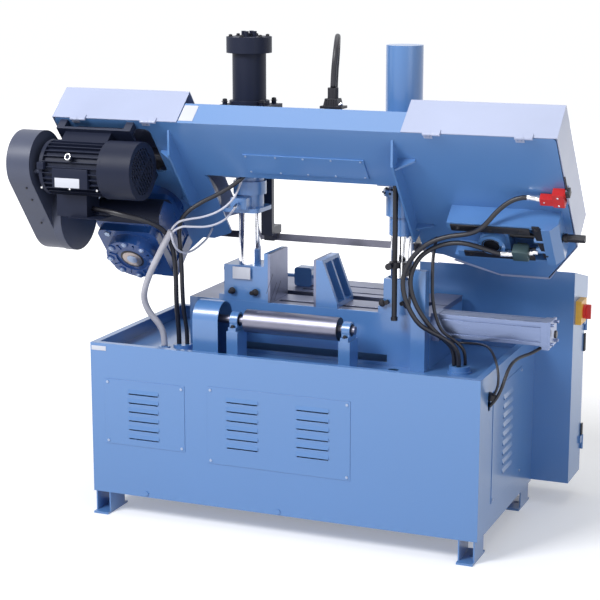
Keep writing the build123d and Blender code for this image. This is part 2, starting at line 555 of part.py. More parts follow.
def bow_frame():
    beam = box(COVER_L_IN + 1, COVER_R_IN - 1, 0, BEAM_P, 0, BEAM_Q)
    beam -= box(COVER_L_IN - 5, COVER_R_IN + 5, BEAM_WALL, BEAM_P - BEAM_WALL, BEAM_WALL, BEAM_Q - BEAM_WALL)
    left = prism_z(left_plate_points(2 * COVER_T), 0, PLATE_T, 14.0)
    right = prism_z(right_plate_points(2 * COVER_T), 0, PLATE_T, 14.0)
    left -= prism_z([(-812, 42), (-512, 42), (-512, 268), (-812, 268)], -1, PLATE_T + 1, 20.0)
    left -= Pos(WHEEL_X1, WHEEL_P, PLATE_T / 2) * Cylinder(SPIGOT_R, 3 * PLATE_T)
    right -= box(WHEEL_X2 - 62, WHEEL_X2 + 55, WHEEL_P - 34, WHEEL_P + 34, -1, PLATE_T + 1)
    body = beam + left + right
    body += rib(RIB_L, 410.0) + rib(RIB_R, 506.0)
    for p in (150.0, 405.0):
        body += gusset(RIB_L + 1, -1, p)
    body += gusset(RIB_R + RIB_T - 1, 1, 130.0) + gusset(RIB_R + RIB_T - 1, 1, 470.0, POST_GUSSET)
    body += motor_mount()
    body = tilt(body)
    for x in (COL_L, COL_R_X):
        body += box(x - COL_BOX, x + COL_BOX, COL_BOX_Y0, RAIL_Y, COL_BOX_Z0, SLEEVE_TOP)
        body += box(x - COL_BOX, x - COL_BOX + 10, BACK_WEB_Y, COL_BOX_Y0 + 1, BACK_WEB_Z, SLEEVE_TOP)
        body += box(x + COL_BOX - 10, x + COL_BOX, BACK_WEB_Y, COL_BOX_Y0 + 1, BACK_WEB_Z, SLEEVE_TOP)
        body -= rod_z(SLEEVE_R, COL_BOX_Z0 - 30, SLEEVE_TOP + 1, x, COL_Y)
    body -= rod_z(RING_R + 2, RING_Z0 - 48, RING_TOP + 18, COL_R_X, COL_Y)
    body -= tilt(box(COVER_L_IN - 5, COVER_R_IN + 5, WHEEL_P - WHEEL_R - 26, WHEEL_P - WHEEL_R + 26,
                     BLADE_Q - 24, BLADE_Q + 20))
    body += box(ROD_X - 16, ROD_X + 16, ROD_Y - 16, ROD_Y + 30, ROD_Z1 - 22, ROD_Z1 + 14)
    body += box(SHELF_X0, SHELF_X1, SHELF_Y0, SHELF_Y1, SHELF_Z - 8, SHELF_Z)
    return body - rod_z(ROD_R, ROD_Z1 - 40, ROD_Z1, ROD_X, ROD_Y)


def cable_hood():
    """Ribbed multi-pole connector behind the beam, its cable leaving upward."""
    x, y = HOOD_X, HOOD_Y
    body = box(x - 40, x + 42, y - 26, y + 30, HOOD_Z[0], HOOD_Z[1])
    body += box(x - 26, x + 26, y - 22, y + 22, SHELF_Z, HOOD_Z[0] + 1)
    foot, neck = [Plane.XY.offset(z) * Pos(x, y) * Rectangle(w, d) for z, w, d in
                  ((HOOD_Z[1], 58, 46), (HOOD_Z[2], 46, 42))]
    body += loft([foot, neck]) + rod_z(19.0, HOOD_Z[2], HOOD_TOP, x, y)
    for i in range(-2, 3):
        body += box(x + 9 * i - 1.5, x + 9 * i + 1.5, y - 24, y - 15, HOOD_Z[1], HOOD_Z[2] - 3)
    return body


def motor_mount():
    """Plate that carries the motor's feet, stood off the bow on four blocks."""
    plate = box(-860, -560, 8, 212, MOUNT_Q0, MOUNT_Q1)
    for x0, x1 in ((-860, -830), (-590, -560)):
        for p0, p1 in ((8, 36), (184, 212)):
            plate += box(x0, x1, p0, p1, MOUNT_Q1 - 1, 1)
        plate += box(x0, x1, 212, 290, MOUNT_Q0, MOUNT_Q1) + box(x0, x1, 270, 290, MOUNT_Q1 - 1, 1)
    return plate


def beam_cover():
    return tilt(box(-177, 282, 147, 241, -5, 0))


def right_sleeve():
    body = rod_z(SLEEVE_R, RING_Z0, SLEEVE_TOP, COL_R_X, COL_Y)
    body += rod_z(SKIRT_R, SKIRT_Z, RING_Z0 + 1, COL_R_X, COL_Y)
    body += rod_z(RING_R - 4, RING_Z0, RING_Z1, COL_R_X, COL_Y)
    body += rod_z(RING_R + 5, RING_Z1, RING_TOP, COL_R_X, COL_Y)
    return body - rod_z(COL_R + RUN, SKIRT_Z - 78, SLEEVE_TOP + 1, COL_R_X, COL_Y)


def left_sleeve():
    """Sleeve over the left column with its flange plate, and the oil block that feeds it."""
    plate = box(COL_L - 90, COL_L + 63, COL_Y - 78, COL_Y + 77, FLANGE_Z, FLANGE_Z + FLANGE_T)
    plate = fillet(plate.edges().filter_by(Axis.Z), 30)
    body = rod_z(SLEEVE_R, FLANGE_Z, SLEEVE_TOP, COL_L, COL_Y) + plate
    body += rod_z(RING_R - 4, RING_TOP - 49, RING_TOP, COL_L, COL_Y)
    body += box(COL_L - 38, COL_L + 26, OIL_Y - 42, OIL_Y + 12, FLANGE_Z + FLANGE_T, OIL_TOP)
    body += rod_y(7.0, OIL_Y - 56, OIL_Y - 41, COL_L - 6, OIL_TOP - 22)
    return body - rod_z(COL_R + RUN, FLANGE_Z - 1, SLEEVE_TOP + 1, COL_L, COL_Y)


def lift_cylinder():
    body = box(COL_L - 92, COL_L + 100, COL_Y - 75, COL_Y + 75, SLEEVE_TOP, PLATE_TOP)
    body += rod_z(BARREL_R, PLATE_TOP, BARREL_TOP, COL_L, COL_Y)
    body += rod_z(CAP_R, BARREL_TOP, CAP_TOP, COL_L, COL_Y)
    body += rod_z(BARREL_R + 12, PLATE_TOP, PLATE_TOP + 14, COL_L, COL_Y)
    body -= rod_z(BARREL_IN, SLEEVE_TOP - 1, CAP_TOP - CAP_T, COL_L, COL_Y)
    for x in (COL_L - 74, COL_L + 74):
        for y in (COL_Y - 56, COL_Y + 56):
            body += rod_z(9.0, PLATE_TOP - 1, PLATE_TOP + 12, x, y)
    for dx, dy in ((-22, 0), (22, 0), (0, -22), (0, 22)):
        body += rod_z(8.0, CAP_TOP - 1, CAP_TOP + 20, COL_L + dx, COL_Y + dy)
    return body + rod_z(11.0, CAP_TOP - 1, CAP_TOP + 12, COL_L, COL_Y)


def column_cover():
    body = rod_z(COVER_TUBE_R, SLEEVE_TOP, COVER_TUBE_TOP, COL_R_X, COL_Y)
    body -= rod_z(COVER_TUBE_R - 3, SLEEVE_TOP - 1, COVER_TUBE_TOP - 3, COL_R_X, COL_Y)
    return body


GUIDE_Y0, GUIDE_Y1 = BLADE_Y - 31.0, BLADE_Y + 31.0


def guide_body(x, clear):
    """Arm that hangs from the rail and holds the blade between two pads."""
    y_rail = RAIL_Y + RAIL_T + clear
    arm = box(x - 25, x + 25, y_rail, y_rail + 22, GUIDE_Z1 - 5, RAIL_Z1 + 10)
    hook = box(x - 35, x + 35, RAIL_Y + clear, y_rail + 22, RAIL_Z1 + clear, RAIL_Z1 + 14)
    hook += box(x - 35, x + 35, RAIL_Y + clear, y_rail + 22, RAIL_Z0 - 14, RAIL_Z0 - clear)
    head = box(x - 25, x + 25, y_rail, GUIDE_Y1, BLADE_Z + BLADE_W / 2 + BLADE_GAP, GUIDE_Z1)
    pads = box(x - 20, x + 20, GUIDE_Y0, GUIDE_Y1, GUIDE_Z0, BLADE_Z + BLADE_W / 2 + 5)
    slot = box(x - 40, x + 40, BLADE_Y - BLADE_T / 2 - BLADE_GAP, BLADE_Y + BLADE_T / 2 + BLADE_GAP,
               GUIDE_Z0 - 1, BLADE_Z + BLADE_W / 2 + BLADE_GAP)
    return (arm + hook + head + pads) - slot


def guide_rail():
    return box(-310, 405, RAIL_Y, RAIL_Y + RAIL_T, RAIL_Z0, RAIL_Z1)


def blade_loop():
    """The part of the blade that lies on the wheels and runs back through the beam."""
    def hull(r):
        return (Pos(WHEEL_X1, WHEEL_P) * Circle(r)) + (Pos(WHEEL_X2, WHEEL_P) * Circle(r)) + (
            Pos(BOW_X, WHEEL_P) * Rectangle(WHEEL_SPAN, 2 * r))
    ring = hull(WHEEL_R + BLADE_T) - hull(WHEEL_R)
    loop = extrude(Plane.XY.offset(BLADE_Q - BLADE_W / 2) * ring, amount=BLADE_W, dir=(0, 0, 1))
    loop -= box(WHEEL_X1, WHEEL_X2, WHEEL_P, WHEEL_P + WHEEL_R + 20, 0, 2 * BLADE_Q)
    return tilt(loop)


def blade_section(x, turn):
    """Blade cross-section at x, turned from the wheel's lie by a part of the way to upright."""
    ang = radians(TILT + (90.0 - TILT) * turn)
    return Plane(origin=(x, BLADE_Y, BLADE_Z), x_dir=(0, cos(ang), sin(ang)), z_dir=(1, 0, 0))


def blade_twist(x0, x1, t0, t1):
    faces = []
    for i in range(4):
        k = i / 3
        faces.append(blade_section(x0 + (x1 - x0) * k, t0 + (t1 - t0) * k) * Rectangle(BLADE_W, BLADE_T))
    return loft(faces, ruled=True)


def blade():
    xa, xb = GUIDE_L_X - 60, GUIDE_R_X + 45
    mid = box(xa, xb, BLADE_Y - BLADE_T / 2, BLADE_Y + BLADE_T / 2, BLADE_Z - BLADE_W / 2,
              BLADE_Z + BLADE_W / 2)
    ends = [blade_section(x, 0) * Rectangle(BLADE_W, BLADE_T) for x in (WHEEL_X1, WHEEL_X2 - BLADE_FLAT)]
    flat = [extrude(e, amount=BLADE_FLAT, dir=(1, 0, 0)) for e in ends]
    twists = [blade_twist(WHEEL_X1 + BLADE_FLAT, xa, 0, 1), blade_twist(xb, WHEEL_X2 - BLADE_FLAT, 1, 0)]
    body = blade_loop() + mid
    for piece in flat + twists:
        body += piece
    return body


def band_wheel(x, bore, hub_r, hub_q0, hub_q1):
    q0, q1 = BLADE_Q - WHEEL_W / 2, BLADE_Q + WHEEL_W / 2
    mid = (q0 + q1) / 2
    wheel = Pos(x, WHEEL_P, mid) * (Cylinder(WHEEL_R - 0.05, WHEEL_W) - Cylinder(WHEEL_R - 24, WHEEL_W + 2))
    wheel += Pos(x, WHEEL_P, mid) * Cylinder(WHEEL_R - 20, 12)
    wheel += Pos(x, WHEEL_P, (hub_q0 + hub_q1) / 2) * Cylinder(hub_r, hub_q1 - hub_q0)
    for i in range(6):
        wheel -= Pos(x, WHEEL_P, mid) * Rot(0, 0, 60 * i) * Pos(132, 0, 0) * Cylinder(36, 40)
    wheel -= Pos(x, WHEEL_P, mid) * Cylinder(bore, 200)
    return wheel


def drive_wheel():
    return tilt(band_wheel(WHEEL_X1, SHAFT_R, 55.0, 24.0, 92.0))


def drive_shaft():
    """Wheel shaft with the worm wheel on it, inside the gearbox."""
    shaft = Pos(WHEEL_X1, WHEEL_P, (GEAR_FACE_Q + 8 + 96) / 2) * Cylinder(SHAFT_R, 96 - GEAR_FACE_Q - 8)
    shaft += Pos(WHEEL_X1, WHEEL_P, WORM_Q) * Cylinder(GEAR_WHEEL_R, 44)
    shaft += Pos(WHEEL_X1, WHEEL_P, 96) * Cylinder(34, 8)
    return tilt(shaft)


def idler_wheel():
    return tilt(band_wheel(WHEEL_X2, SHAFT_R + RUN, 55.0, 24.0, 92.0))


def gearbox():
    """Worm gearbox: hollow case, ribbed output flange, spigot to the bow and worm bearing bosses."""
    case = box(GEAR_X0, GEAR_X1, GEAR_P0 + 40, GEAR_P1, GEAR_Q0, GEAR_Q1)
    case = fillet(case.edges().filter_by(Axis.Z), 30)
    case += rod_x(62.0, GEAR_X0 - 10, GEAR_X1 + 12, WORM_P, WORM_Q)
    case += Pos(WHEEL_X1, WHEEL_P, (GEAR_Q1 + PLATE_T) / 2) * Cylinder(SPIGOT_R - 0.2, PLATE_T - GEAR_Q1)
    case += Pos(WHEEL_X1, WHEEL_P, (GEAR_Q1 - 1) / 2) * Cylinder(SPIGOT_R + 48, -GEAR_Q1)
    case += Pos(WHEEL_X1, WHEEL_P, (GEAR_FACE_Q + GEAR_Q0) / 2) * Cylinder(100, GEAR_Q0 - GEAR_FACE_Q)
    case += box(GEAR_X1 - 60, GEAR_X1 + 6, GEAR_P1 - 30, GEAR_P1 + 16, GEAR_Q0 + 10, GEAR_Q1 - 10)
    case += box(GEAR_X0 + 6, GEAR_X0 + 60, GEAR_P1 - 20, GEAR_P1 + 12, GEAR_Q0 + 10, GEAR_Q1 - 10)
    case -= Pos(WHEEL_X1, WHEEL_P, WORM_Q) * Cylinder(GEAR_WHEEL_R + 6, 60)
    case -= rod_x(WORM_R + 8, GEAR_X0 + 14, GEAR_X1 - 14, WORM_P, WORM_Q)
    case -= rod_x(14.0 + RUN, GEAR_X0 - 40, GEAR_X1 - 10, WORM_P, WORM_Q)
    case -= Pos(WHEEL_X1, WHEEL_P, -140) * Cylinder(SHAFT_R + RUN, 320)
    case -= Pos(WHEEL_X1, WHEEL_P, GEAR_FACE_Q) * Cylinder(62, 12)
    for i in range(8):
        case -= Pos(WHEEL_X1, WHEEL_P, GEAR_FACE_Q) * Rot(0, 0, 45 * i + 22.5) * Pos(84, 0,
                                                                                     0) * Cylinder(5, 24)
    return tilt(case)


def worm_shaft():
    body = rod_x(14.0, BELT_X0 + 26, GEAR_X1 - 14, WORM_P, WORM_Q)
    body += rod_x(WORM_R, WHEEL_X1 - 70, WHEEL_X1 + 70, WORM_P, WORM_Q)
    body += rod_x(PULLEY_W_R, BELT_X0 + 28, BELT_X0 + 28 + BELT_W + 8, WORM_P, WORM_Q)
    return tilt(body - pulley_groove(WORM_P, WORM_Q, PULLEY_W_R))


def pulley_groove(p, q, r):
    """Ring cut out of a pulley, which the belts lie in."""
    x0, x1 = BELT_X0 + 32 - 0.25, BELT_X0 + 32 + BELT_W + 0.25
    return rod_x(r + 1, x0, x1, p, q) - rod_x(r - BELT_T - 0.25, x0 - 1, x1 + 1, p, q)


def belt_band(grow, x0, x1):
    """Belt loop round both pulleys, a little larger by grow where it seats in them."""
    outer, inner = [hull_solid((MOTOR_P, MOTOR_Q), PULLEY_M_R - BELT_T + dr, (WORM_P, WORM_Q),
                               PULLEY_W_R - BELT_T + dr,
                               x0, x1) for dr in (BELT_T + 3 + grow, -grow)]
    return outer - inner


def hull_solid(a, ra, b, rb, x0, x1):
    """Two discs across X and the solid drawn tight round them."""
    d = hypot(b[0] - a[0], b[1] - a[1])
    u, v = (b[0] - a[0]) / d, (b[1] - a[1]) / d
    k = (ra - rb) / d
    m = (1 - k * k) ** 0.5
    pts = []
    for s in (1, -1):
        n = (u * k - s * v * m, v * k + s * u * m)
        pair = [(a[0] + ra * n[0], a[1] + ra * n[1]), (b[0] + rb * n[0], b[1] + rb * n[1])]
        pts += pair if s > 0 else pair[::-1]
    return rod_x(ra, x0, x1, *a) + rod_x(rb, x0, x1, *b) + prism_x(pts, x0, x1)


def drive_belts():
    return tilt(belt_band(0.0, BELT_X0 + 32, BELT_X0 + 32 + BELT_W))


def belt_cover():
    """Deep closed guard over both pulleys, open only where the two shafts enter."""
    def block(dr, x0, x1):
        return hull_solid((MOTOR_P - 8, MOTOR_Q + 10), COVER_M_R - dr, (WORM_P + 14, WORM_Q + 12),
                          COVER_W_R - dr, x0, x1)
    body = block(0, BELT_X0, BELT_X1) - block(3, BELT_X0 + 3, BELT_X1 - 3)
    body -= rod_x(30.0, BELT_X1 - 10, BELT_X1 + 1, MOTOR_P, MOTOR_Q)
    body += rod_x(DRUM_R, BELT_X1 - 1, DRUM_X1, WORM_P + 12, WORM_Q)
    body -= rod_x(DRUM_R - 3, BELT_X1, DRUM_X1 - 3, WORM_P + 12, WORM_Q)
    body -= rod_x(24.0, BELT_X1 - 10, DRUM_X1 + 1, WORM_P, WORM_Q)
    for p, q in ((60.0, -210.0), (150.0, -90.0)):
        body += rod_x(8.0, BELT_X1 - 1, MOTOR_X0, p, q)
    return tilt(body)


def motor_frame():
    y, z = MOTOR_P, MOTOR_Q
    body = rod_x(88.0, MOTOR_X0 + 14, MOTOR_X1, y, z) + rod_x(MOTOR_R, MOTOR_X0, MOTOR_X0 + 14, y, z)
    body += rod_x(MOTOR_R + 5, MOTOR_X1 - 10, MOTOR_X1, y, z)
    for i in range(30):
        ang = 12 * i
        fin = Pos(0, y, z) * Rot(ang, 0, 0) * box(MOTOR_X0 + 14, MOTOR_X1, -1.6, 1.6, 84, MOTOR_R)
        body += fin
    for p0, p1 in ((y - 76, y - 50), (y + 50, y + 76)):
        body += box(MOTOR_X0 + 40, MOTOR_X1 - 20, p0, p1, MOUNT_Q0 - 60, MOUNT_Q0)
    body -= rod_x(MOTOR_SHAFT_R + RUN, MOTOR_X0 - 1, MOTOR_X1 + 1, y, z)
    return body


def fan_cover():
    y, z = MOTOR_P, MOTOR_Q
    r = MOTOR_R + 5
    body = rod_x(r, MOTOR_X1, FAN_X1, y, z) - rod_x(r - 3, MOTOR_X1 - 1, FAN_X1 - 3, y, z)
    for i in range(-5, 6):
        half = (84.0 ** 2 - (14.0 * i) ** 2) ** 0.5
        body -= box(FAN_X1 - 8, FAN_X1 + 1, y - half, y - 5, z + 14 * i - 3, z + 14 * i + 3)
        body -= box(FAN_X1 - 8, FAN_X1 + 1, y + 5, y + half, z + 14 * i - 3, z + 14 * i + 3)
    return body


def terminal_box():
    _, y, z = bow_point(0, MOTOR_P, MOTOR_Q)
    return box(-828, -705, y - 45, y + 45, z - 172, z - 92) + box(-810, -723, y - 32, y + 32, z - 96, z - 80)


def motor_body():
    frame = tilt(motor_frame()) + terminal_box()
    _, y, z = bow_point(0, MOTOR_P, MOTOR_Q)
    return frame - rod_x(MOTOR_SHAFT_R + RUN, MOTOR_X0 - 1, MOTOR_X1 + 1, y, z)


def motor_rotor():
    """Motor shaft with its drive pulley and cooling fan."""
    y, z = MOTOR_P, MOTOR_Q
    body = rod_x(MOTOR_SHAFT_R, BELT_X0 + 26, FAN_X1 - 40, y, z)
    body += rod_x(PULLEY_M_R, BELT_X0 + 28, BELT_X0 + 28 + BELT_W + 8, y, z)
    body += rod_x(30.0, MOTOR_X1 + 20, FAN_X1 - 44, y, z)
    for i in range(7):
        blade_ = Pos(0, y, z) * Rot(360 / 7 * i, 0, 0) * box(MOTOR_X1 + 24, FAN_X1 - 46, -2, 2, 26, 92)
        body += blade_
    return tilt(body - pulley_groove(MOTOR_P, MOTOR_Q, PULLEY_M_R))


# ------------------------------------------------------------------ wheel covers and tension unit
def cover_shell(outer, inner):
    return prism_z(outer, 0, COVER_Q) - prism_z(inner, -1, COVER_Q - COVER_T)


def left_cover():
    x0, x1, t, p1 = BOW_X - BOW_HALF, COVER_L_IN, COVER_T, COVER_P
    outer = [(x1, -t - 1), (x0, -t - 1), (x0, 560), (-755, p1), (-580, p1), (x1, 660)]
    inner = [(x1 + 9, -1), (x0 + t, -1), (x0 + t, 559), (-753.5, p1 - t), (-585, p1 - t), (-570, p1 + 20),
             (x1 + 9, p1 + 20)]
    shell = cover_shell(outer, inner)
    return tilt(shell + cover_leaves(x0, x1))


def right_cover():
    x0, x1, t, p1 = COVER_R_IN, BOW_X + BOW_HALF, COVER_T, COVER_P
    outer = [(x0, -t - 1), (x1, -t - 1), (x1, 545), (855, p1), (672, p1), (x0, 655)]
    inner = [(x0 - 9, -1), (x1 - t, -1), (x1 - t, 544), (853.5, p1 - t), (677, p1 - t), (662, p1 + 20),
             (x0 - 9, p1 + 20)]
    shell = cover_shell(outer, inner)
    key = box(x1 - 1, x1 + 6, 236, 300, -16, 12)
    return tilt(shell + cover_leaves(x0, x1) + key)


def leaf_centres(x0, x1):
    return (x0 + 110, x1 - 110)


def cover_leaves(x0, x1):
    """Moving hinge leaves with half of each knuckle."""
    out = None
    for x in leaf_centres(x0, x1):
        piece = rod_x(HINGE_R, x, x + 30, HINGE_P, HINGE_Q) + box(x, x + 30, -4, -1, HINGE_Q, 20)
        piece += box(x, x + 30, HINGE_P - 5, HINGE_P, HINGE_Q, 12)
        out = piece if out is None else out + piece
    return out


def cover_hinges():
    """Fixed hinge leaves screwed to the front of the bow, with the other half of each knuckle."""
    parts = []
    for x0, x1 in ((BOW_X - BOW_HALF, COVER_L_IN), (COVER_R_IN, BOW_X + BOW_HALF)):
        for x in leaf_centres(x0, x1):
            leaf = rod_x(HINGE_R, x - 31, x - 1, HINGE_P, HINGE_Q) + box(x - 31, x - 1, HINGE_P, 20, -3, 0)
            leaf += box(x - 31, x - 1, HINGE_P - 1, 4, HINGE_Q, -1)
            parts.append(tilt(leaf))
    return group(*parts)


def tension_bracket():
    body = box(560, 925, 366, 534, -15, 0) - box(WHEEL_X2 - 62, WHEEL_X2 + 55, WHEEL_P - 34, WHEEL_P + 34,
                                                 -16, 1)
    body += box(560, 925, 358, 370, -80, 0)
    body += box(560, 925, 530, 542, -80, 0)
    body += box(560, 850, 370, 393, -80, -66) + box(575, 850, 507, 530, -80, -66)
    body += prism_y([(895, 0), (950, 0), (950, -60), (925, -90), (895, -90)], 358, 540)
    for p in HOSE_PORTS_P:
        body += rod_x(12.0, HOSE_PORT_X, 896, p, HOSE_PORT_Q)
    body -= rod_x(TENSION_SCREW_R + 0.2, 890, 960, SCREW_P, SCREW_Q)
    return tilt(body - rod_x(COLLAR_R + 1, 930, 960, SCREW_P, SCREW_Q))


def tension_slide():
    """Sliding block with the idler wheel's fixed axle."""
    body = box(WHEEL_X2 - 55, WHEEL_X2 + 55, 370 + SOFT, 530 - SOFT, CARRIER_Q0, CARRIER_Q1 + 1 - SOFT)
    body += Pos(WHEEL_X2, WHEEL_P, -78) * Cylinder(48, 36)
    body += Pos(WHEEL_X2, WHEEL_P, -8) * Cylinder(31, 62)
    body += Pos(WHEEL_X2, WHEEL_P, 0) * Cylinder(SHAFT_R, 192)
    body += Pos(WHEEL_X2, WHEEL_P, 100) * Cylinder(36, 8)
    return tilt(body)


def tension_screw():
    body = rod_x(TENSION_SCREW_R, WHEEL_X2 + 55 + SOFT, 985, SCREW_P, SCREW_Q)
    body += rod_x(COLLAR_R, 955, 966, SCREW_P, SCREW_Q)
    hexagon = Plane.YZ.offset(966) * Pos(SCREW_P, SCREW_Q) * RegularPolygon(14.0, 6)
    body += extrude(hexagon, amount=62, dir=(1, 0, 0))
    return tilt(body)


def interlock_switch():
    body = box(BOW_X1 - 46, BOW_X1 - 6, 240, 300, -34, 0) + box(SWITCH_X0, BOW_X1 - 45, 266, 298, -30, -4)
    return tilt(body + box(BOW_X1 - 7, BOW_X1 - 1 - SOFT, 240, 258, -24, -6))


PANEL_SLOPE_LEN = hypot(CAB_Y2 - CAB_Y0, CAB_ZT - CAB_ZR)
PN_Y, PN_Z = (CAB_ZT - CAB_ZR) / PANEL_SLOPE_LEN, (CAB_Y2 - CAB_Y0) / PANEL_SLOPE_LEN
DESK = Plane(origin=((CAB_X0 + CAB_X1) / 2, (CAB_Y0 + CAB_Y2) / 2, (CAB_ZT + CAB_ZR) / 2), x_dir=(1, 0, 0),
             z_dir=(0, PN_Y, PN_Z)).location


def cabinet_outline(t):
    """Side view of the cabinet, moved in by the sheet thickness t."""
    return [(CAB_Y0 + t, CAB_Z0 + t), (CAB_Y1 - t, CAB_Z0 + t), (CAB_Y1 - t, CAB_ZC - 22 + t),
            (CAB_Y2 - t, CAB_ZC + t),
            (CAB_Y2 - t, CAB_ZR - t), (CAB_Y0 + t, CAB_ZT - t)]


def control_cabinet():
    body = prism_x(cabinet_outline(0), CAB_X0, CAB_X1) - prism_x(cabinet_outline(3.0), CAB_X0 + 3, CAB_X1 - 3)
    body -= box(CAB_X0 + 30, CAB_X1 - 30, CAB_Y1 - 10, CAB_Y1 + 5, DOOR_Z0 + 20, DOOR_Z1 - 20)
    for x in BUTTON_X:
        body -= DESK * (Pos(x, 0, 0) * Cylinder(BUTTON_R + 1.5, 20))
    body -= rod_x(6.0 + RUN, CAB_X1 - 10, CAB_X1 + 1, SWITCH_Y, SWITCH_Z)
    return body


def operator_panel():
    plate = Pos(-10, 0, PANEL_PLATE_T / 2) * Box(460, 170, PANEL_PLATE_T)
    for x in BUTTON_X:
        plate += Pos(x, 0, PANEL_PLATE_T + 1.5) * Cylinder(BUTTON_R + 6, 3)
        plate -= Pos(x, 0, 0) * Cylinder(BUTTON_R + RUN, 30)
    return DESK * plate


def push_button(x, mushroom):
    top = PANEL_PLATE_T + 3 + BUTTON_TRAVEL + 2
    body = Pos(x, 0, (top - 12) / 2) * Cylinder(BUTTON_R, top + 12)
    if mushroom:
        body += Pos(x, 0, top + 6) * Cylinder(20, 12)
    return DESK * body


def switch_plate():
    body = box(CAB_X1, CAB_X1 + 22, SWITCH_Y - 43, SWITCH_Y + 43, SWITCH_Z - 45, SWITCH_Z + 45)
    return body - rod_x(6.0 + RUN, CAB_X1 - 1, CAB_X1 + 23, SWITCH_Y, SWITCH_Z)


def main_switch_knob():
    x = CAB_X1 + 22 + SOFT
    body = rod_x(27.0, x, x + 8, SWITCH_Y, SWITCH_Z) + rod_x(6.0, CAB_X1 - 14, x + 1, SWITCH_Y, SWITCH_Z)
    return body + box(x + 7, x + 27, SWITCH_Y - 7, SWITCH_Y + 7, SWITCH_Z - 27, SWITCH_Z + 27)


def cabinet_door():
    x0, x1 = CAB_X0 + 12, CAB_X1 - 4
    body = box(x0, x1, CAB_Y1 + SOFT, CAB_Y1 + SOFT + DOOR_T, DOOR_Z0, DOOR_Z1)
    for z in (DOOR_Z0 + 90, DOOR_Z1 - 60):
        body += rod_z(6.0, z - 28, z, HINGE_CAB[0], HINGE_CAB[1]) + box(
            x1 - 2, HINGE_CAB[0], CAB_Y1 + SOFT + 1, CAB_Y1 + 6, z - 28, z)
    body += rod_y(12.0, CAB_Y1 + 4, CAB_Y1 + 14, x0 + 40, 430.0)
    return body


def door_hinges():
    parts = []
    for z in (DOOR_Z0 + 90, DOOR_Z1 - 60):
        piece = rod_z(6.0, z + SOFT, z + 30, HINGE_CAB[0], HINGE_CAB[1])
        parts.append(piece + box(CAB_X1, HINGE_CAB[0] + 3, CAB_Y1 - 30, CAB_Y1 + 4, z + 2, z + 30))
    return group(*parts)


# ------------------------------------------------------------------ hoses
def hose(points, diameter, straights=None):
    """Round hose: straight runs joined by tangent arcs."""
    pts = [Vector(*p) for p in points]
    radii = []
    for a, b, c in zip(pts, pts[1:], pts[2:]):
        u, v = (b - a), (c - b)
        turn = u.get_angle(v)
        run = min(u.length, v.length)
        radii.append(min(0.45 * run / tan(radians(turn) / 2), 400.0))
    path = FilletPolyline(*pts, radius=radii)
    end = Plane(origin=path @ 0, z_dir=path % 0)
    tube = sweep(end * Circle(diameter / 2), path=path)
    want = 3.14159265 * diameter ** 2 / 4 * path.length
    print(f"  hose d {diameter} length {path.length:.0f} least radius {min(radii):.0f} "
          f"volume/expected {tube.volume / want:.4f}")
    return tube


def front_port(x, p):
    """Where a hose leaves the front plate of the bow."""
    return bow_point(x, p, 0)


PORT_B = bow_point(HOSE_PORT_X, HOSE_PORTS_P[1], HOSE_PORT_Q)
SWITCH_PORT = bow_point(SWITCH_X0 - PORT_GAP, 277, -18)
RIGHT_GLAND, LEFT_GLAND, SHEATH_GLAND = TRAY_HOLES[2], TRAY_HOLES[0], TRAY_HOLES[1]


def into_gland(hole, dx, dy, gap=SOFT):
    """The last two points of a hose that comes down upright on a tray gland."""
    x, y = hole[0] + dx, hole[1] + dy
    return [(x, y, GLAND_TOP + 44), (x, y, GLAND_TOP + gap)]


def tension_hoses():
    """Tension hose, cable of the interlock switch and a thinner lead, over the post to the tray."""
    lower = [PORT_B, (822, -101, 1066), (777, -118, 1051), (732, -132, 1055), (692, -147, 1070),
             (650, -156, 1083), (600, -158, 1089), (548, -157, 1080), (500, -154, 1060),
             (455, -152, 1026), (426, -150, 970), (421, -148, 915), (440, -146, 855), (474, -137, 798),
             (511, -117, 749), (553, -87, 706), *into_gland(RIGHT_GLAND, -17, -10)]
    upper = [SWITCH_PORT, (848, -187, 1266), (812, -190, 1260), (776, -191, 1241), (738, -193, 1206),
             (704, -197, 1162), (666, -184, 1133), (622, -174, 1120), (570, -172, 1112),
             (500, -176, 1088), (439, -172, 1035), (405, -170, 972), (399, -168, 912), (420, -166, 846),
             (456, -157, 785), (497, -135, 756), (535, -114, 733), (570, -97, 706),
             *into_gland(RIGHT_GLAND, 3, -22)]
    thin = [front_port(470, 545), (471, -22, 1048), (474, -48, 1018), (477, -64, 975), (479, -71, 920),
            (482, -73, 860), (493, -74, 800), (517, -72, 745), (550, -65, 724), (583, -58, 700),
            *into_gland(RIGHT_GLAND, 17, 12)]
    return [hose(lower, 17.0), hose(upper, 17.0), hose(thin, 12.0)]


def drive_hoses():
    """Motor lead, control lead and the pale sheath, all going down to the left of the tray."""
    lead = [(TERM_X, TERM_Y, TERM_Z), (-645, -414, 1164), (-580, -418, 1154), (-520, -391, 1138),
            (-478, -335, 1108), (-459, -280, 1062), (-462, -240, 995), (-471, -207, 905),
            (-484, -182, 805), (-490, -160, 728), *into_gland(LEFT_GLAND, -14, -4)]
    control = [(-208, COL_BOX_Y0, 1296), (-218, -146, 1276), (-250, -172, 1245), (-298, -204, 1213),
               (-350, -234, 1186), (-398, -258, 1152), (-426, -262, 1110), (-434, -250, 1060),
               (-438, -232, 1000), (-446, -208, 925), (-457, -184, 840), (-463, -164, 760),
               (-463, -148, 712), *into_gland(LEFT_GLAND, 16, 4)]
    sheath = [JOIN, (-468, -299, 1040), (-501, -291, 985), (-538, -280, 925), (-576, -262, 850),
              (-587, -243, 800), (-572, -226, 752), (-544, -208, 712), *into_gland(SHEATH_GLAND, 0, 0)]
    return [hose(lead, 18.0), hose(control, 16.0), hose(sheath, 24.0)]


def crossing_hoses():
    return group(*tension_hoses(), *drive_hoses())


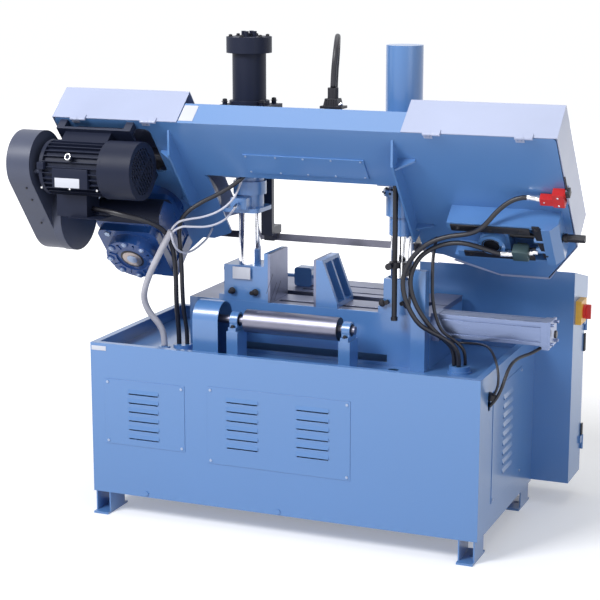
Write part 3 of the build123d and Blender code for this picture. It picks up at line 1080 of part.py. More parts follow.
def head_hoses():
    """Thin hoses from the sheath to the left sleeve and bow, and the loop of the rear control cable."""
    x, y, z = JOIN
    top = [(x, y, z + 4), (-421, -298, 1118), (-385, -278, 1128), (-338, -246, 1133), (-290, -208, 1152),
           (-252, -172, 1190), (-238, -146, 1236), (-232, COL_BOX_Y0, 1278)]
    mid = [(x + 7, y - 2, z - 2), (-408, -296, 1104), (-368, -272, 1100), (-322, -236, 1097),
           (-284, -196, 1112), (-264, -160, 1140), (COL_L - 6, OIL_Y - 56, OIL_TOP - 22)]
    low = [(x + 2, y - 8, z - 5), (-436, -302, 1050), (-434, -282, 1020), (-432, -248, 999),
           (-431, -205, 988), (-430, -158, 986), (-430, -104, 992), (-430, -50, 1004),
           bow_point(-430, 580, -40), bow_point(-430, 580, -SOFT)]
    loop = [(143, -190, HOOD_TOP), (145, -190, 1664), (150, -190, 1715), (146, -166, 1759),
            (134, -125, 1784), (117, -77, 1784), (101, -36, 1759), (90, -12, 1715), (84, -12, 1642),
            (82, -12, 1569), (80, -13, SHELF_Z)]
    return group(hose(top, 8.0), hose(mid, 8.0), hose(low, 8.0), hose(loop, 20.0))


def vise_hoses():
    """Two hoses from the vise cylinder's ends over the rim into the slot in the base's end."""
    front = [(FIT_F[0] + 14, *FIT_F[1:]), (556, -37, 701), (616, -48, 706), (672, -92, 718),
             (722, -158, 722), (758, -218, 701), (778, -247, 662), (781, -258, 618), (768, -260, 583),
             (HX, -256, 562)]
    rear = [(FIT_R[0] - 14, *FIT_R[1:]), (848, -62, 694), (826, -112, 693), (812, -160, 689),
            (803, -200, 672), (797, -228, 640), (788, -244, 600), (770, -254, 562), (HX, -254, 540)]
    return group(hose(front, 9.0), hose(rear, 12.0))


if __name__ == "__main__":
    save("base_cabinet", base_cabinet())
    save("base_feet", base_feet())
    save("louvred_panels", service_panels())
    save("base_fasteners", group(panel_screws(), clamp_bolts()))
    save("tray_glands", tray_glands())
    save("bed_frame", bed_frame())
    save("table_plate", table_plate())
    save("columns", columns())
    save("column_clamps", group(left_clamp_block(), right_clamp_block()))
    save("fixed_jaw_plate", fixed_jaw_plate())
    save("moving_jaw", moving_jaw())
    save("moving_jaw_plate", moving_jaw_plate())
    save("vise_rod", vise_rod())
    save("vise_cylinder", vise_cylinder())
    save("feed_roller", feed_roller())
    save("roller_supports", roller_supports())
    save("chain_guard", chain_guard())
    save("hose_post", hose_post())
    save("height_limit_switch", height_limit_switch())
    save("stop_rod", stop_rod())
    save("stop_dog", stop_dog())
    save("length_stop", length_stop())
    save("bow_frame", bow_frame())
    save("beam_cover", beam_cover())
    save("column_sleeves", group(left_sleeve(), right_sleeve()))
    save("lift_cylinder", lift_cylinder())
    save("column_cover", column_cover())
    save("guide_rail", guide_rail())
    save("left_guide", guide_body(GUIDE_L_X, SOFT))
    save("right_guide", guide_body(GUIDE_R_X, 0.0))
    save("blade", blade())
    save("drive_wheel", drive_wheel())
    save("drive_shaft", drive_shaft())
    save("idler_wheel", idler_wheel())
    save("gearbox", gearbox())
    save("worm_shaft", worm_shaft())
    save("drive_belts", drive_belts())
    save("belt_cover", belt_cover())
    save("motor_body", motor_body())
    save("motor_fan_cover", tilt(fan_cover()))
    save("motor_rotor", motor_rotor())
    save("left_cover", left_cover())
    save("right_cover", right_cover())
    save("cover_hinges", cover_hinges())
    save("tension_bracket", tension_bracket())
    save("tension_slide", tension_slide())
    save("tension_screw", tension_screw())
    save("interlock_switch", interlock_switch())
    save("cable_hood", cable_hood())
    save("crossing_hoses", crossing_hoses())
    save("head_hoses", head_hoses())
    save("vise_hoses", vise_hoses())
    save("control_cabinet", group(control_cabinet(), door_hinges()))
    save("operator_panel", operator_panel())
    save("estop_button", push_button(BUTTON_X[0], True))
    save("start_button", push_button(BUTTON_X[1], False))
    save("stop_button", push_button(BUTTON_X[2], False))
    save("switch_plate", switch_plate())
    save("main_switch_knob", main_switch_knob())
    save("cabinet_door", cabinet_door())
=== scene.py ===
from math import radians, sin, cos, pi
import bmesh
import bpy
from mathutils import Matrix, Vector


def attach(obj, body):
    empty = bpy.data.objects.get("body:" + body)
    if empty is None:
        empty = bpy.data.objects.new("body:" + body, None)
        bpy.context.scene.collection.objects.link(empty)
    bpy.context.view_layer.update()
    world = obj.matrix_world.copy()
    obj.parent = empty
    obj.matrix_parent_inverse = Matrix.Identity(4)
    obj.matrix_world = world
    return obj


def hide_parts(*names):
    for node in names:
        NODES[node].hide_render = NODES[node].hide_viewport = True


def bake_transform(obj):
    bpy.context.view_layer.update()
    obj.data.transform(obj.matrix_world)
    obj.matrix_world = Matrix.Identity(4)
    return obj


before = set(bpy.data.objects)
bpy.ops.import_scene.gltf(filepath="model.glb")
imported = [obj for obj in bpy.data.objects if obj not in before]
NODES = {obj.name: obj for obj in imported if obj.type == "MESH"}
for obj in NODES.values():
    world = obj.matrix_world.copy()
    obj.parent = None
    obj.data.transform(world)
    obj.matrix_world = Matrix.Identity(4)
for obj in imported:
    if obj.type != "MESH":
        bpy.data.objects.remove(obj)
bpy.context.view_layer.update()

BOW_TILT = radians(40.7)
TILT_S, TILT_C = sin(BOW_TILT), cos(BOW_TILT)
BOW_Y, BOW_Z = -351, 1484.2                              # the bow's origin, millimetres
BOW = Matrix(((1, 0, 0, 0), (0, TILT_S, TILT_C, BOW_Y / 1000), (0, -TILT_C, TILT_S, BOW_Z / 1000),
              (0, 0, 0, 1)))
WORLD = Matrix.Identity(4)
FRONT = (0, 0, -1)                                       # out of the bow, toward the operator
SHARP = 35                                               # edges steeper than this stay sharp, degrees
CAMERA_AZIMUTH, CAMERA_ELEVATION = 22.152, 11.974

# ---------------------------------------------------------------- camera
cam = bpy.data.objects.new("camera", bpy.data.cameras.new("camera"))
bpy.context.scene.collection.objects.link(cam)
cam.location = (2.2292, -5.6145, 2.1014)
cam.rotation_euler = (radians(90 - CAMERA_ELEVATION), 0, radians(CAMERA_AZIMUTH))
cam.data.lens, cam.data.sensor_width = 99.5, 36
cam.data.shift_x, cam.data.shift_y = -0.0011, -0.0068
bpy.context.scene.camera = cam


# ---------------------------------------------------------------- materials
def nodes_of(name):
    """A new material with its tree, shader and links."""
    m = bpy.data.materials.new(name)
    m.use_nodes = True
    t = m.node_tree
    return m, t, t.nodes["Principled BSDF"], t.links


def noise(t, scale, detail=3.0, stretch=(1, 1, 1)):
    """Noise in the object's own space."""
    co = t.nodes.new("ShaderNodeTexCoord")
    mp = t.nodes.new("ShaderNodeMapping")
    mp.inputs["Scale"].default_value = stretch
    n = t.nodes.new("ShaderNodeTexNoise")
    n.inputs["Scale"].default_value = scale
    n.inputs["Detail"].default_value = detail
    t.links.new(co.outputs["Object"], mp.inputs["Vector"])
    t.links.new(mp.outputs["Vector"], n.inputs["Vector"])
    return n


def ramp(t, source, stops):
    r = t.nodes.new("ShaderNodeValToRGB")
    while len(r.color_ramp.elements) < len(stops):
        r.color_ramp.elements.new(0.5)
    for e, (at, c) in zip(r.color_ramp.elements, stops):
        e.position, e.color = at, (*c, 1)
    t.links.new(source, r.inputs["Fac"])
    return r


def mul(c, k):
    """A colour made lighter or darker."""
    return tuple(min(1.0, x * k) for x in c)


def finish_mat(name, colour, rough, metal=0.0, vary=0.05, big=3.0, grain=600.0, bump=0.06, edge=1.25,
               coat=0.0, spread=0.08, stretch=(1, 1, 1), bevel=0.0015, spec=0.5):
    """Paint, cast or machined finish: slow tone changes, fine relief, edges painted lighter as part wear and part
    painted highlight, broken-up gloss.
    """
    m, t, b, link = nodes_of(name)
    slow = noise(t, big, 4.0)
    tone = ramp(t, slow.outputs["Fac"], ((0.3, mul(colour, 1 - vary)), (0.7, mul(colour, 1 + vary))))
    round_off = t.nodes.new("ShaderNodeBevel")
    round_off.samples = 4
    round_off.inputs["Radius"].default_value = bevel
    geo = t.nodes.new("ShaderNodeNewGeometry")
    # Edge mask from the rounded normal: edges get a lighter colour, partly wear and partly a painted highlight along
    # every edge.
    dot = t.nodes.new("ShaderNodeVectorMath")
    dot.operation = "DOT_PRODUCT"
    link.new(round_off.outputs["Normal"], dot.inputs[0])
    link.new(geo.outputs["Normal"], dot.inputs[1])
    wear_and_highlight_edge = t.nodes.new("ShaderNodeMapRange")
    wear_and_highlight_edge.inputs["From Min"].default_value = 0.99
    wear_and_highlight_edge.inputs["From Max"].default_value = 0.80
    wear_and_highlight_edge.inputs["To Min"].default_value = 0.0
    wear_and_highlight_edge.inputs["To Max"].default_value = 0.7
    link.new(dot.outputs["Value"], wear_and_highlight_edge.inputs["Value"])
    mix = t.nodes.new("ShaderNodeMix")
    mix.data_type = "RGBA"
    link.new(wear_and_highlight_edge.outputs["Result"], mix.inputs["Factor"])
    link.new(tone.outputs["Color"], mix.inputs["A"])
    mix.inputs["B"].default_value = (*mul(colour, edge), 1)
    link.new(mix.outputs["Result"], b.inputs["Base Color"])
    fine = noise(t, grain, 2.0, stretch)
    hill = t.nodes.new("ShaderNodeBump")
    hill.inputs["Strength"].default_value = bump
    hill.inputs["Distance"].default_value = 0.001
    link.new(fine.outputs["Fac"], hill.inputs["Height"])
    link.new(round_off.outputs["Normal"], hill.inputs["Normal"])
    link.new(hill.outputs["Normal"], b.inputs["Normal"])
    gloss = t.nodes.new("ShaderNodeMapRange")
    gloss.inputs["To Min"].default_value = max(0.03, rough - spread)
    gloss.inputs["To Max"].default_value = min(1.0, rough + spread)
    link.new(noise(t, big * 4, 5.0, stretch).outputs["Fac"], gloss.inputs["Value"])
    link.new(gloss.outputs["Result"], b.inputs["Roughness"])
    b.inputs["Metallic"].default_value = metal
    b.inputs["Coat Weight"].default_value = coat
    b.inputs["Coat Roughness"].default_value = 0.12
    b.inputs["Specular IOR Level"].default_value = spec
    return m


M = {
    "blue": finish_mat("blue_enamel", (0.088, 0.222, 0.505), 0.31, vary=0.02, spread=0.03, big=1.2, coat=0.5,
                       bump=0.05, spec=0.7),
    "cover": finish_mat("cover_enamel", (0.40, 0.45, 0.63), 0.34, coat=0.3, bump=0.05, edge=1.12),
    "cabinet": finish_mat("cabinet_enamel", (0.078, 0.210, 0.490), 0.34, vary=0.02, spread=0.03, big=1.2, coat=0.4,
                          bump=0.05, spec=0.6),
    "charcoal": finish_mat("charcoal_enamel", (0.012, 0.016, 0.036), 0.46, bump=0.12, grain=350, edge=2.0, spec=0.18),
    "belt": finish_mat("belt_enamel", (0.052, 0.062, 0.105), 0.40, bump=0.10, grain=350, edge=1.8),
    "navy": finish_mat("navy_cast", (0.014, 0.020, 0.048), 0.36, bump=0.2, grain=260, edge=2.0),
    "gear": finish_mat("gear_enamel", (0.013, 0.060, 0.230), 0.30, coat=0.4, bump=0.22, grain=200, edge=1.6),
    "chrome": finish_mat("hard_chrome", (0.80, 0.81, 0.85), 0.10, 1.0, vary=0.02, bump=0.01, edge=1.05, spread=0.04),
    "steel": finish_mat("ground_steel", (0.36, 0.36, 0.42), 0.34, 1.0, vary=0.08, bump=0.06, grain=220,
                        stretch=(1, 14, 14), edge=1.2),
    "plate": finish_mat("milled_plate", (0.22, 0.24, 0.34), 0.38, 1.0, vary=0.12, big=9, bump=0.1, grain=160,
                        stretch=(9, 9, 1)),
    "roller": finish_mat("roller_steel", (0.22, 0.22, 0.28), 0.36, 1.0, vary=0.07, big=12, bump=0.25, grain=500,
                         stretch=(1, 3, 3)),
    "iron": finish_mat("wheel_iron", (0.20, 0.20, 0.23), 0.5, 0.7, vary=0.12, big=14, bump=0.35, grain=180),
    "alu": finish_mat("anodised", (0.20, 0.25, 0.40), 0.30, 1.0, vary=0.03, bump=0.05, grain=300,
                      stretch=(1, 20, 20)),
    "black": finish_mat("black_oxide", (0.014, 0.014, 0.020), 0.38, 0.3, vary=0.2, bump=0.12, grain=420, edge=2.5,
                        bevel=0.0008),
    "plastic": finish_mat("black_plastic", (0.018, 0.018, 0.024), 0.42, vary=0.1, bump=0.1, edge=2.0),
    "rubber": finish_mat("hose_rubber", (0.013, 0.013, 0.020), 0.40, vary=0.15, big=20, bump=0.12, grain=700),
    "red": finish_mat("red_plastic", (0.62, 0.022, 0.018), 0.34, vary=0.08, bump=0.06),
    "green": finish_mat("green_plastic", (0.03, 0.32, 0.08), 0.34, vary=0.06, bump=0.05),
    "yellow": finish_mat("yellow_plastic", (0.86, 0.47, 0.06), 0.38, vary=0.05, bump=0.05, edge=1.1),
    "sheath": finish_mat("pale_sheath", (0.46, 0.46, 0.52), 0.45, vary=0.06, big=18, bump=0.3, grain=420),
    "white": finish_mat("white_hose", (0.66, 0.67, 0.76), 0.35, vary=0.04, big=20, bump=0.06),
    "label": finish_mat("bare_label", (0.60, 0.62, 0.70), 0.5, vary=0.03, big=14, bump=0.05, bevel=0.0004),
    "screw": finish_mat("screw_heads", (0.34, 0.42, 0.58), 0.35, 0.7, vary=0.05, big=30, bump=0.05, bevel=0.0004),
    "zinc": finish_mat("bright_zinc", (0.72, 0.72, 0.74), 0.24, 1.0, vary=0.08, big=30, bump=0.06, bevel=0.0006),
    "brass": finish_mat("worn_bronze", (0.42, 0.36, 0.34), 0.30, 1.0, vary=0.1, big=30, bump=0.08, bevel=0.0006),
    "valve": finish_mat("valve_cast", (0.050, 0.090, 0.100), 0.42, 0.3, vary=0.1, big=20, bump=0.15, grain=300),
    # Near-black paint for flat patches that stand in for the shade inside recesses and holes.
    "painted_shade": finish_mat("unlit_inside", (0.004, 0.005, 0.009), 0.8, vary=0.2, bump=0.05, edge=1.0, spec=0.1),
    "blade": finish_mat("blade_steel", (0.16, 0.16, 0.20), 0.36, 1.0, vary=0.12, big=20, bump=0.08, grain=260,
                        stretch=(1, 12, 12), bevel=0.0003),
}

CAD = {
    "blue": "base_cabinet base_feet louvred_panels tray_glands bed_frame column_clamps moving_jaw hose_post "
            "bow_frame beam_cover tension_bracket tension_slide column_sleeves column_cover length_stop "
            "chain_guard roller_supports",
    "cabinet": "control_cabinet cabinet_door operator_panel",
    "cover": "left_cover right_cover cover_hinges",
    "charcoal": "lift_cylinder motor_body motor_fan_cover",
    "navy": "left_guide right_guide",
    "belt": "belt_cover",
    "gear": "gearbox",
    "chrome": "columns vise_rod drive_shaft",
    "steel": "guide_rail worm_shaft motor_rotor",
    "plate": "table_plate fixed_jaw_plate moving_jaw_plate",
    "roller": "feed_roller",
    "iron": "drive_wheel idler_wheel",
    "alu": "vise_cylinder",
    "black": "base_fasteners stop_rod stop_dog height_limit_switch tension_screw cable_hood",
    "rubber": "drive_belts",
    "red": "interlock_switch estop_button main_switch_knob",
    "green": "start_button",
    "plastic": "stop_button",
    "yellow": "switch_plate",
    "blade": "blade",
}
for key, names in CAD.items():
    for name in names.split():
        o = NODES[name]
        o.data.materials.clear()
        o.data.materials.append(M[key])


def paint_part(node, key, inside):
    """Gives the faces of a CAD node whose centre passes the test another finish."""
    o = NODES[node]
    o.data.materials.append(M[key])
    last = len(o.data.materials) - 1
    for f in o.data.polygons:
        if inside(f.center):
            f.material_index = last


# ---------------------------------------------------------------- shapes
class Piece:
    """A detail mesh in the row frame, made of many small solids, riding on one body."""

    def __init__(self, name, body, key, at=WORLD):
        self.name, self.body, self.key, self.at, self.bm = name, body, key, at, bmesh.new()

    def _place(self, geom, matrix):
        bmesh.ops.transform(self.bm, matrix=self.at @ matrix, verts=geom)

    def _soften(self, verts, width, segments=2):
        if width > 0:
            edges = list({e for v in verts for e in v.link_edges if e.calc_face_angle(0) > 0.6})
            bmesh.ops.bevel(self.bm, geom=edges, offset=width, segments=segments, affect="EDGES", profile=0.5)

    def box(self, x0, x1, y0, y1, z0, z1, soft=0.001, turn=WORLD):
        made = bmesh.ops.create_cube(self.bm, size=1.0)["verts"]
        size = Matrix.Diagonal((abs(x1 - x0), abs(y1 - y0), abs(z1 - z0), 1))
        self._place(made, Matrix.Translation(((x0 + x1) / 2, (y0 + y1) / 2, (z0 + z1) / 2)) @ turn @ size)
        self._soften(made, soft)
        return self

    def cyl(self, a, b, r, r2=None, soft=0.0006, n=32):
        a, b = Vector(a), Vector(b)
        made = bmesh.ops.create_cone(self.bm, cap_ends=True, segments=n, radius1=r, radius2=r if r2 is None else r2,
                                     depth=(b - a).length)["verts"]
        turn = (b - a).to_track_quat("Z", "Y").to_matrix().to_4x4()
        self._place(made, Matrix.Translation((a + b) / 2) @ turn)
        self._soften(made, soft)
        return self

    def bolt(self, at, axis, r=0.006, h=0.006, washer=True):
        """Screw: washer, round head and a small hexagon on its face."""
        at, axis = Vector(at), Vector(axis).normalized()
        if washer:
            self.cyl(at, at + axis * 0.0016, r * 1.55, soft=0.0003, n=24)
        self.cyl(at, at + axis * h, r, soft=0.0006, n=20)
        self.cyl(at + axis * (h - 0.0005), at + axis * (h + 0.0012), r * 0.55, r * 0.5, soft=0, n=6)
        return self

    def hoop(self, centre, u, v, thick, angles, reach, n):
        """Short rods around a centre, from each angle over the reach; u and v are the hoop's two radii."""
        for a in angles:
            ends = [tuple(c + i * cos(t) + j * sin(t) for c, i, j in zip(centre, u, v))
                    for t in (radians(a), radians(a + reach))]
            self.cyl(*ends, thick, soft=0, n=n)
        return self

    def plate(self, outline, depth, push, soft=0.0008):
        """A flat outline of points, given thickness along push."""
        vs = [self.bm.verts.new(self.at @ Vector(p)) for p in outline]
        f = self.bm.faces.new(vs)
        out = bmesh.ops.extrude_face_region(self.bm, geom=[f])["geom"]
        top = [v for v in out if isinstance(v, bmesh.types.BMVert)]
        bmesh.ops.translate(self.bm, verts=top, vec=(self.at.to_3x3() @ Vector(push)).normalized() * depth)
        self._soften(vs + top, soft, 1)
        return self

    def done(self):
        """Turns the solids into the finished object, smooth but for its sharp edges."""
        bmesh.ops.recalc_face_normals(self.bm, faces=self.bm.faces)
        me = bpy.data.meshes.new(self.name)
        self.bm.to_mesh(me)
        self.bm.free()
        me.materials.append(M[self.key])
        for f in me.polygons:
            f.use_smooth = True
        me.set_sharp_from_angle(angle=radians(SHARP))
        o = bpy.data.objects.new(self.name, me)
        bpy.context.scene.collection.objects.link(o)
        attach(o, self.body)


# ---------------------------------------------------------------- hoses and leads
def line_of(points):
    """The points of a route's smooth line, in metres; the route itself is in millimetres."""
    cu = bpy.data.curves.new("route", "CURVE")
    cu.dimensions = "3D"
    sp = cu.splines.new("NURBS")
    sp.points.add(len(points) - 1)
    for k, q in zip(sp.points, points):
        k.co = (q[0] / 1000, q[1] / 1000, q[2] / 1000, 1)
    sp.order_u = 3
    sp.use_endpoint_u = True
    sp.resolution_u = 10
    o = bpy.data.objects.new("route", cu)
    bpy.context.scene.collection.objects.link(o)
    bpy.context.view_layer.update()
    me = bpy.data.meshes.new_from_object(o.evaluated_get(bpy.context.evaluated_depsgraph_get()))
    out = [v.co.copy() for v in me.vertices]
    bpy.data.objects.remove(o)
    bpy.data.meshes.remove(me)
    return out


def sweep(bm, line, radius, n=16):
    """A closed round tube along a line."""
    rings, side = [], None
    for i, p in enumerate(line):
        d = (line[min(i + 1, len(line) - 1)] - line[max(i - 1, 0)]).normalized()
        if side is None:
            side = d.orthogonal().normalized()
        side = (side - d * side.dot(d)).normalized()
        up = d.cross(side)
        rings.append([bm.verts.new(p + (side * cos(2 * pi * k / n) + up * sin(2 * pi * k / n)) * radius)
                      for k in range(n)])
    for a, b in zip(rings, rings[1:]):
        for k in range(n):
            bm.faces.new((a[k], a[(k + 1) % n], b[(k + 1) % n], b[k]))
    bm.faces.new(rings[0][::-1])
    bm.faces.new(rings[-1])


def tube(name, points, diameter, key):
    """A hose along a route, with its centre line."""
    line = line_of(points)
    bm = bmesh.new()
    sweep(bm, line, diameter / 2000)
    bmesh.ops.recalc_face_normals(bm, faces=bm.faces)
    me = bpy.data.meshes.new(name)
    bm.to_mesh(me)
    bm.free()
    me.materials.append(M[key])
    for f in me.polygons:
        f.use_smooth = True
    o = bpy.data.objects.new(name, me)
    bpy.context.scene.collection.objects.link(o)
    return o, line


def bow_point(x, p, q):
    """A point of the bow in the row frame, both in millimetres."""
    return (x, BOW_Y + TILT_S * p + TILT_C * q, BOW_Z - TILT_C * p + TILT_S * q)


JOIN = (-440, -302, 1085)
LEFT, SHEATH, RIGHT = (-478, -143), (-528, -198), (585, -66)
GLAND_TOP = 626


def into_gland(hole, dx, dy):
    """The last two points of a hose that comes down upright on a gland of the tray."""
    x, y = hole[0] + dx, hole[1] + dy
    return [(x, y, GLAND_TOP + 44), (x, y, GLAND_TOP + 0.3)]


CROSSING = {
    "tension_hose_low": (17, [bow_point(862, 480, -76), (822, -101, 1066), (777, -118, 1051), (732, -132, 1055),
                              (692, -147, 1070), (650, -156, 1083), (600, -158, 1089), (548, -157, 1080),
                              (500, -154, 1060), (455, -152, 1026), (426, -150, 970), (421, -148, 915),
                              (440, -146, 855), (474, -137, 798), (511, -117, 749), (553, -87, 706),
                              *into_gland(RIGHT, -17, -10)]),
    "tension_hose_high": (17, [bow_point(887, 277, -18), (848, -187, 1266), (812, -190, 1260), (776, -191, 1241),
                               (738, -193, 1206), (704, -197, 1162), (666, -184, 1133), (622, -174, 1120),
                               (570, -172, 1112), (500, -176, 1088), (439, -172, 1035), (405, -170, 972),
                               (399, -168, 912), (420, -166, 846), (456, -157, 785), (497, -135, 756),
                               (535, -114, 733), (570, -97, 706), *into_gland(RIGHT, 3, -22)]),
    "sensor_lead": (12, [bow_point(470, 545, -0.3), (471, -22, 1048), (474, -48, 1018), (477, -64, 975),
                         (479, -71, 920), (482, -73, 860), (493, -74, 800), (517, -72, 745), (550, -65, 724),
                         (583, -58, 700), *into_gland(RIGHT, 17, 12)]),
    "motor_lead": (18, [(-705, -400, 1165), (-645, -414, 1164), (-580, -418, 1154), (-520, -391, 1138),
                        (-478, -335, 1108), (-459, -280, 1062), (-462, -240, 995), (-471, -207, 905),
                        (-484, -182, 805), (-490, -160, 728), *into_gland(LEFT, -14, -4)]),
    "control_lead": (16, [(-208, -122, 1296), (-218, -146, 1276), (-250, -172, 1245), (-298, -204, 1213),
                          (-350, -234, 1186), (-398, -258, 1152), (-426, -262, 1110), (-434, -250, 1060),
                          (-438, -232, 1000), (-446, -208, 925), (-457, -184, 840), (-463, -164, 760),
                          (-463, -148, 712), *into_gland(LEFT, 16, 4)]),
    "oil_sheath": (24, [JOIN, (-468, -299, 1040), (-501, -291, 985), (-538, -280, 925), (-576, -262, 850),
                        (-587, -243, 800), (-572, -226, 752), (-544, -208, 712), *into_gland(SHEATH, 0, 0)]),
}

HEAD_HOSES = {
    "clamp_hose": (8, [(-440, -302, 1089), (-421, -298, 1118), (-385, -278, 1128), (-338, -246, 1133),
                       (-290, -208, 1152), (-252, -172, 1190), (-238, -146, 1236), (-232, -122, 1278)]),
    "oil_hose": (8, [(-433, -304, 1083), (-408, -296, 1104), (-368, -272, 1100), (-322, -236, 1097),
                     (-284, -196, 1112), (-264, -160, 1140), (-259, -125, 1166)]),
    "drain_hose": (8, [(-438, -310, 1080), (-436, -302, 1050), (-434, -282, 1020), (-432, -248, 999),
                       (-431, -205, 988), (-430, -158, 986), (-430, -104, 992), (-430, -50, 1004),
                       bow_point(-430, 580, -40), bow_point(-430, 580, -0.3)]),
    "rear_cable": (20, [(143, -190, 1612), (145, -190, 1664), (150, -190, 1715), (146, -166, 1759),
                        (134, -125, 1784), (117, -77, 1784), (101, -36, 1759), (90, -12, 1715),
                        (84, -12, 1642), (82, -12, 1569), (80, -13, 1496)]),
}
BASE_HOSES = {
    "vise_hose_front": (9, [(498, -34, 709), (556, -37, 701), (616, -48, 706), (672, -92, 718), (722, -158, 722),
                            (758, -218, 701), (778, -247, 662), (781, -258, 618), (768, -260, 583),
                            (750, -256, 562)]),
    "vise_hose_rear": (12, [(872, -22, 709), (848, -62, 694), (826, -112, 693), (812, -160, 689),
                            (803, -200, 672), (797, -228, 640), (788, -244, 600), (770, -254, 562),
                            (750, -254, 540)]),
}
KEYS = {"oil_sheath": "sheath", "clamp_hose": "white", "oil_hose": "white", "drain_hose": "white"}


def lay_cords(routes, body, node):
    """Makes the cords of one CAD node and hides the node; without a body they are baked into the row frame and ride on
    no body.
    """
    for name, (dia, pts) in routes.items():
        obj, line = tube(name, pts, dia, KEYS.get(name, "rubber"))
        if body is None:
            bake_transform(obj)
        else:
            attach(obj, body)
        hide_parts(node)


lay_cords(CROSSING, None, "crossing_hoses")
lay_cords(HEAD_HOSES, "head", "head_hoses")
lay_cords(BASE_HOSES, "base", "vise_hoses")


# ---------------------------------------------------------------- finishes of single areas
def bow_of(c):
    """A point of the row frame in the bow's own axes."""
    return BOW.inverted() @ c


paint_part("gearbox", "charcoal", lambda c: bow_of(c).y < 0.330)
paint_part("bow_frame", "navy", lambda c: c.x < -0.555 and -0.050 < bow_of(c).z < -0.001 and bow_of(c).y < 0.3)
paint_part("base_fasteners", "screw", lambda c: c.z < 0.60 and c.y < -0.3 or c.x > 0.745)
paint_part("feed_roller", "black", lambda c: abs(c.x) > 0.1755 and abs(c.x) < 0.19)

# ---------------------------------------------------------------- blade tension unit
bars = Piece("tension_guide_bars", "head", "black", BOW)
bars.box(0.572, 0.852, 0.364, 0.396, -0.0845, -0.0795).box(0.598, 0.852, 0.504, 0.532, -0.0845, -0.0795)
bars.plate([(0.862, 0.350, -0.0795), (0.888, 0.350, -0.0795), (0.902, 0.430, -0.0795), (0.914, 0.512, -0.0795),
            (0.886, 0.512, -0.0795), (0.872, 0.430, -0.0795)], 0.007, FRONT)
for x, p in ((0.60, 0.380), (0.71, 0.380), (0.82, 0.380), (0.625, 0.518), (0.73, 0.518), (0.83, 0.518),
             (0.876, 0.364), (0.899, 0.496)):
    bars.bolt((x, p, -0.0845), FRONT, 0.0058, 0.0055)
bars.done()
valve = Piece("tension_valve_block", "head", "valve", BOW)
valve.box(0.782, 0.838, 0.458, 0.506, -0.112, -0.072, 0.0025).box(0.792, 0.828, 0.466, 0.498, -0.0725, -0.060)
valve.done()
ends = Piece("tension_fittings", "head", "zinc", BOW)
ends.cyl((0.784, 0.479, -0.099), (0.766, 0.477, -0.105), 0.0125, n=6)
ends.cyl((0.766, 0.477, -0.105), (0.742, 0.472, -0.111), 0.0108)
ends.cyl((0.837, 0.481, -0.090), (0.851, 0.481, -0.088), 0.012, n=6)
ends.cyl((0.85, 0.481, -0.088), (0.868, 0.481, -0.086), 0.009)
ends.cyl((0.8905, 0.277, -0.018), (0.877, 0.276, -0.018), 0.0125, n=6)
ends.cyl((0.878, 0.276, -0.018), (0.846, 0.2725, -0.018), 0.0105)
ends.bolt((0.956, 0.251, -0.034), FRONT, 0.004, 0.003, False)
ends.bolt((0.956, 0.289, -0.034), FRONT, 0.004, 0.003, False)
ends.bolt((0.905, 0.282, -0.030), FRONT, 0.003, 0.002, False).done()
# A flat near-black disc painted as the shade inside the idler axle's recess.
hub = Piece("idler_axle_recess_painted_shade", "tension", "painted_shade", BOW)
hub.cyl((0.710, 0.450, -0.0955), (0.710, 0.450, -0.0968), 0.029).done()
ring = Piece("idler_axle_circlip", "tension", "black", BOW)
ring.hoop((0.710, 0.450, -0.0965), (0.033, 0, 0), (0, 0.033, 0), 0.0018, range(0, 330, 15), 16, 8).done()
tongue = Piece("interlock_key", "cover_right", "plastic", BOW)
tongue.box(0.980, 0.995, 0.236, 0.262, -0.022, 0.004).box(0.984, 0.989, 0.168, 0.238, -0.014, -0.009)
tongue.bolt((0.9875, 0.249, -0.022), FRONT, 0.004, 0.003, False).done()
# A flat near-black square painted as the shade inside the bracket's square hole.
hole = Piece("bracket_square_hole_painted_shade", "head", "painted_shade", BOW)
hole.box(0.893, 0.911, 0.517, 0.535, -0.0806, -0.0797, 0.0004).done()

# ---------------------------------------------------------------- bow
edge = Piece("cover_edge_strips", "head", "cover", BOW)
edge.plate([(0.510, 0.6665, -0.0005), (0.520, 0.657, -0.0005), (0.672, 0.728, -0.0005), (0.852, 0.728, -0.0005),
            (0.855, 0.734, -0.0005), (0.668, 0.734, -0.0005)], 0.0012, FRONT, 0.0003)
edge.done()
screws = Piece("strip_cover_screws", "head", "screw", BOW)
for x in (-0.165, -0.05, 0.055, 0.16, 0.27):
    for p in (0.154, 0.234):
        screws.bolt((x, p, -0.005), FRONT, 0.0042, 0.003, False)
for x in (-0.782, -0.498, 0.557, 0.872):
    for dx in (-0.022, -0.009):
        screws.bolt((x + dx, 0.010, -0.003), FRONT, 0.0030, 0.002, False)
screws.done()
GEAR_X, GEAR_P, GEAR_BOLTS = -0.620, 0.450, 0.088       # gearbox output and the circle of its bolts
flange = Piece("gearbox_output_flange", "head", "gear", BOW)
heads = Piece("gearbox_bolts", "head", "screw", BOW)
for k in range(8):
    a = radians(45 * k)
    x, p = GEAR_X + GEAR_BOLTS * cos(a), GEAR_P + GEAR_BOLTS * sin(a)
    flange.cyl((x, p, -0.2795), (x, p, -0.2835), 0.015)
    heads.bolt((x, p, -0.2835), FRONT, 0.0062, 0.005)
    b = radians(45 * k + 22.5)
    x, p = GEAR_X + 0.073 * cos(b), GEAR_P + 0.073 * sin(b)
    flange.box(x - 0.0015, x + 0.0015, p - 0.011, p + 0.011, -0.2838, -0.2795, 0.0004,
               Matrix.Rotation(b + pi / 2, 4, "Z"))
flange.cyl((GEAR_X, GEAR_P, -0.2742), (GEAR_X, GEAR_P, -0.2752), 0.058).done()
seal = Piece("gearbox_shaft_seal", "head", "brass", BOW)
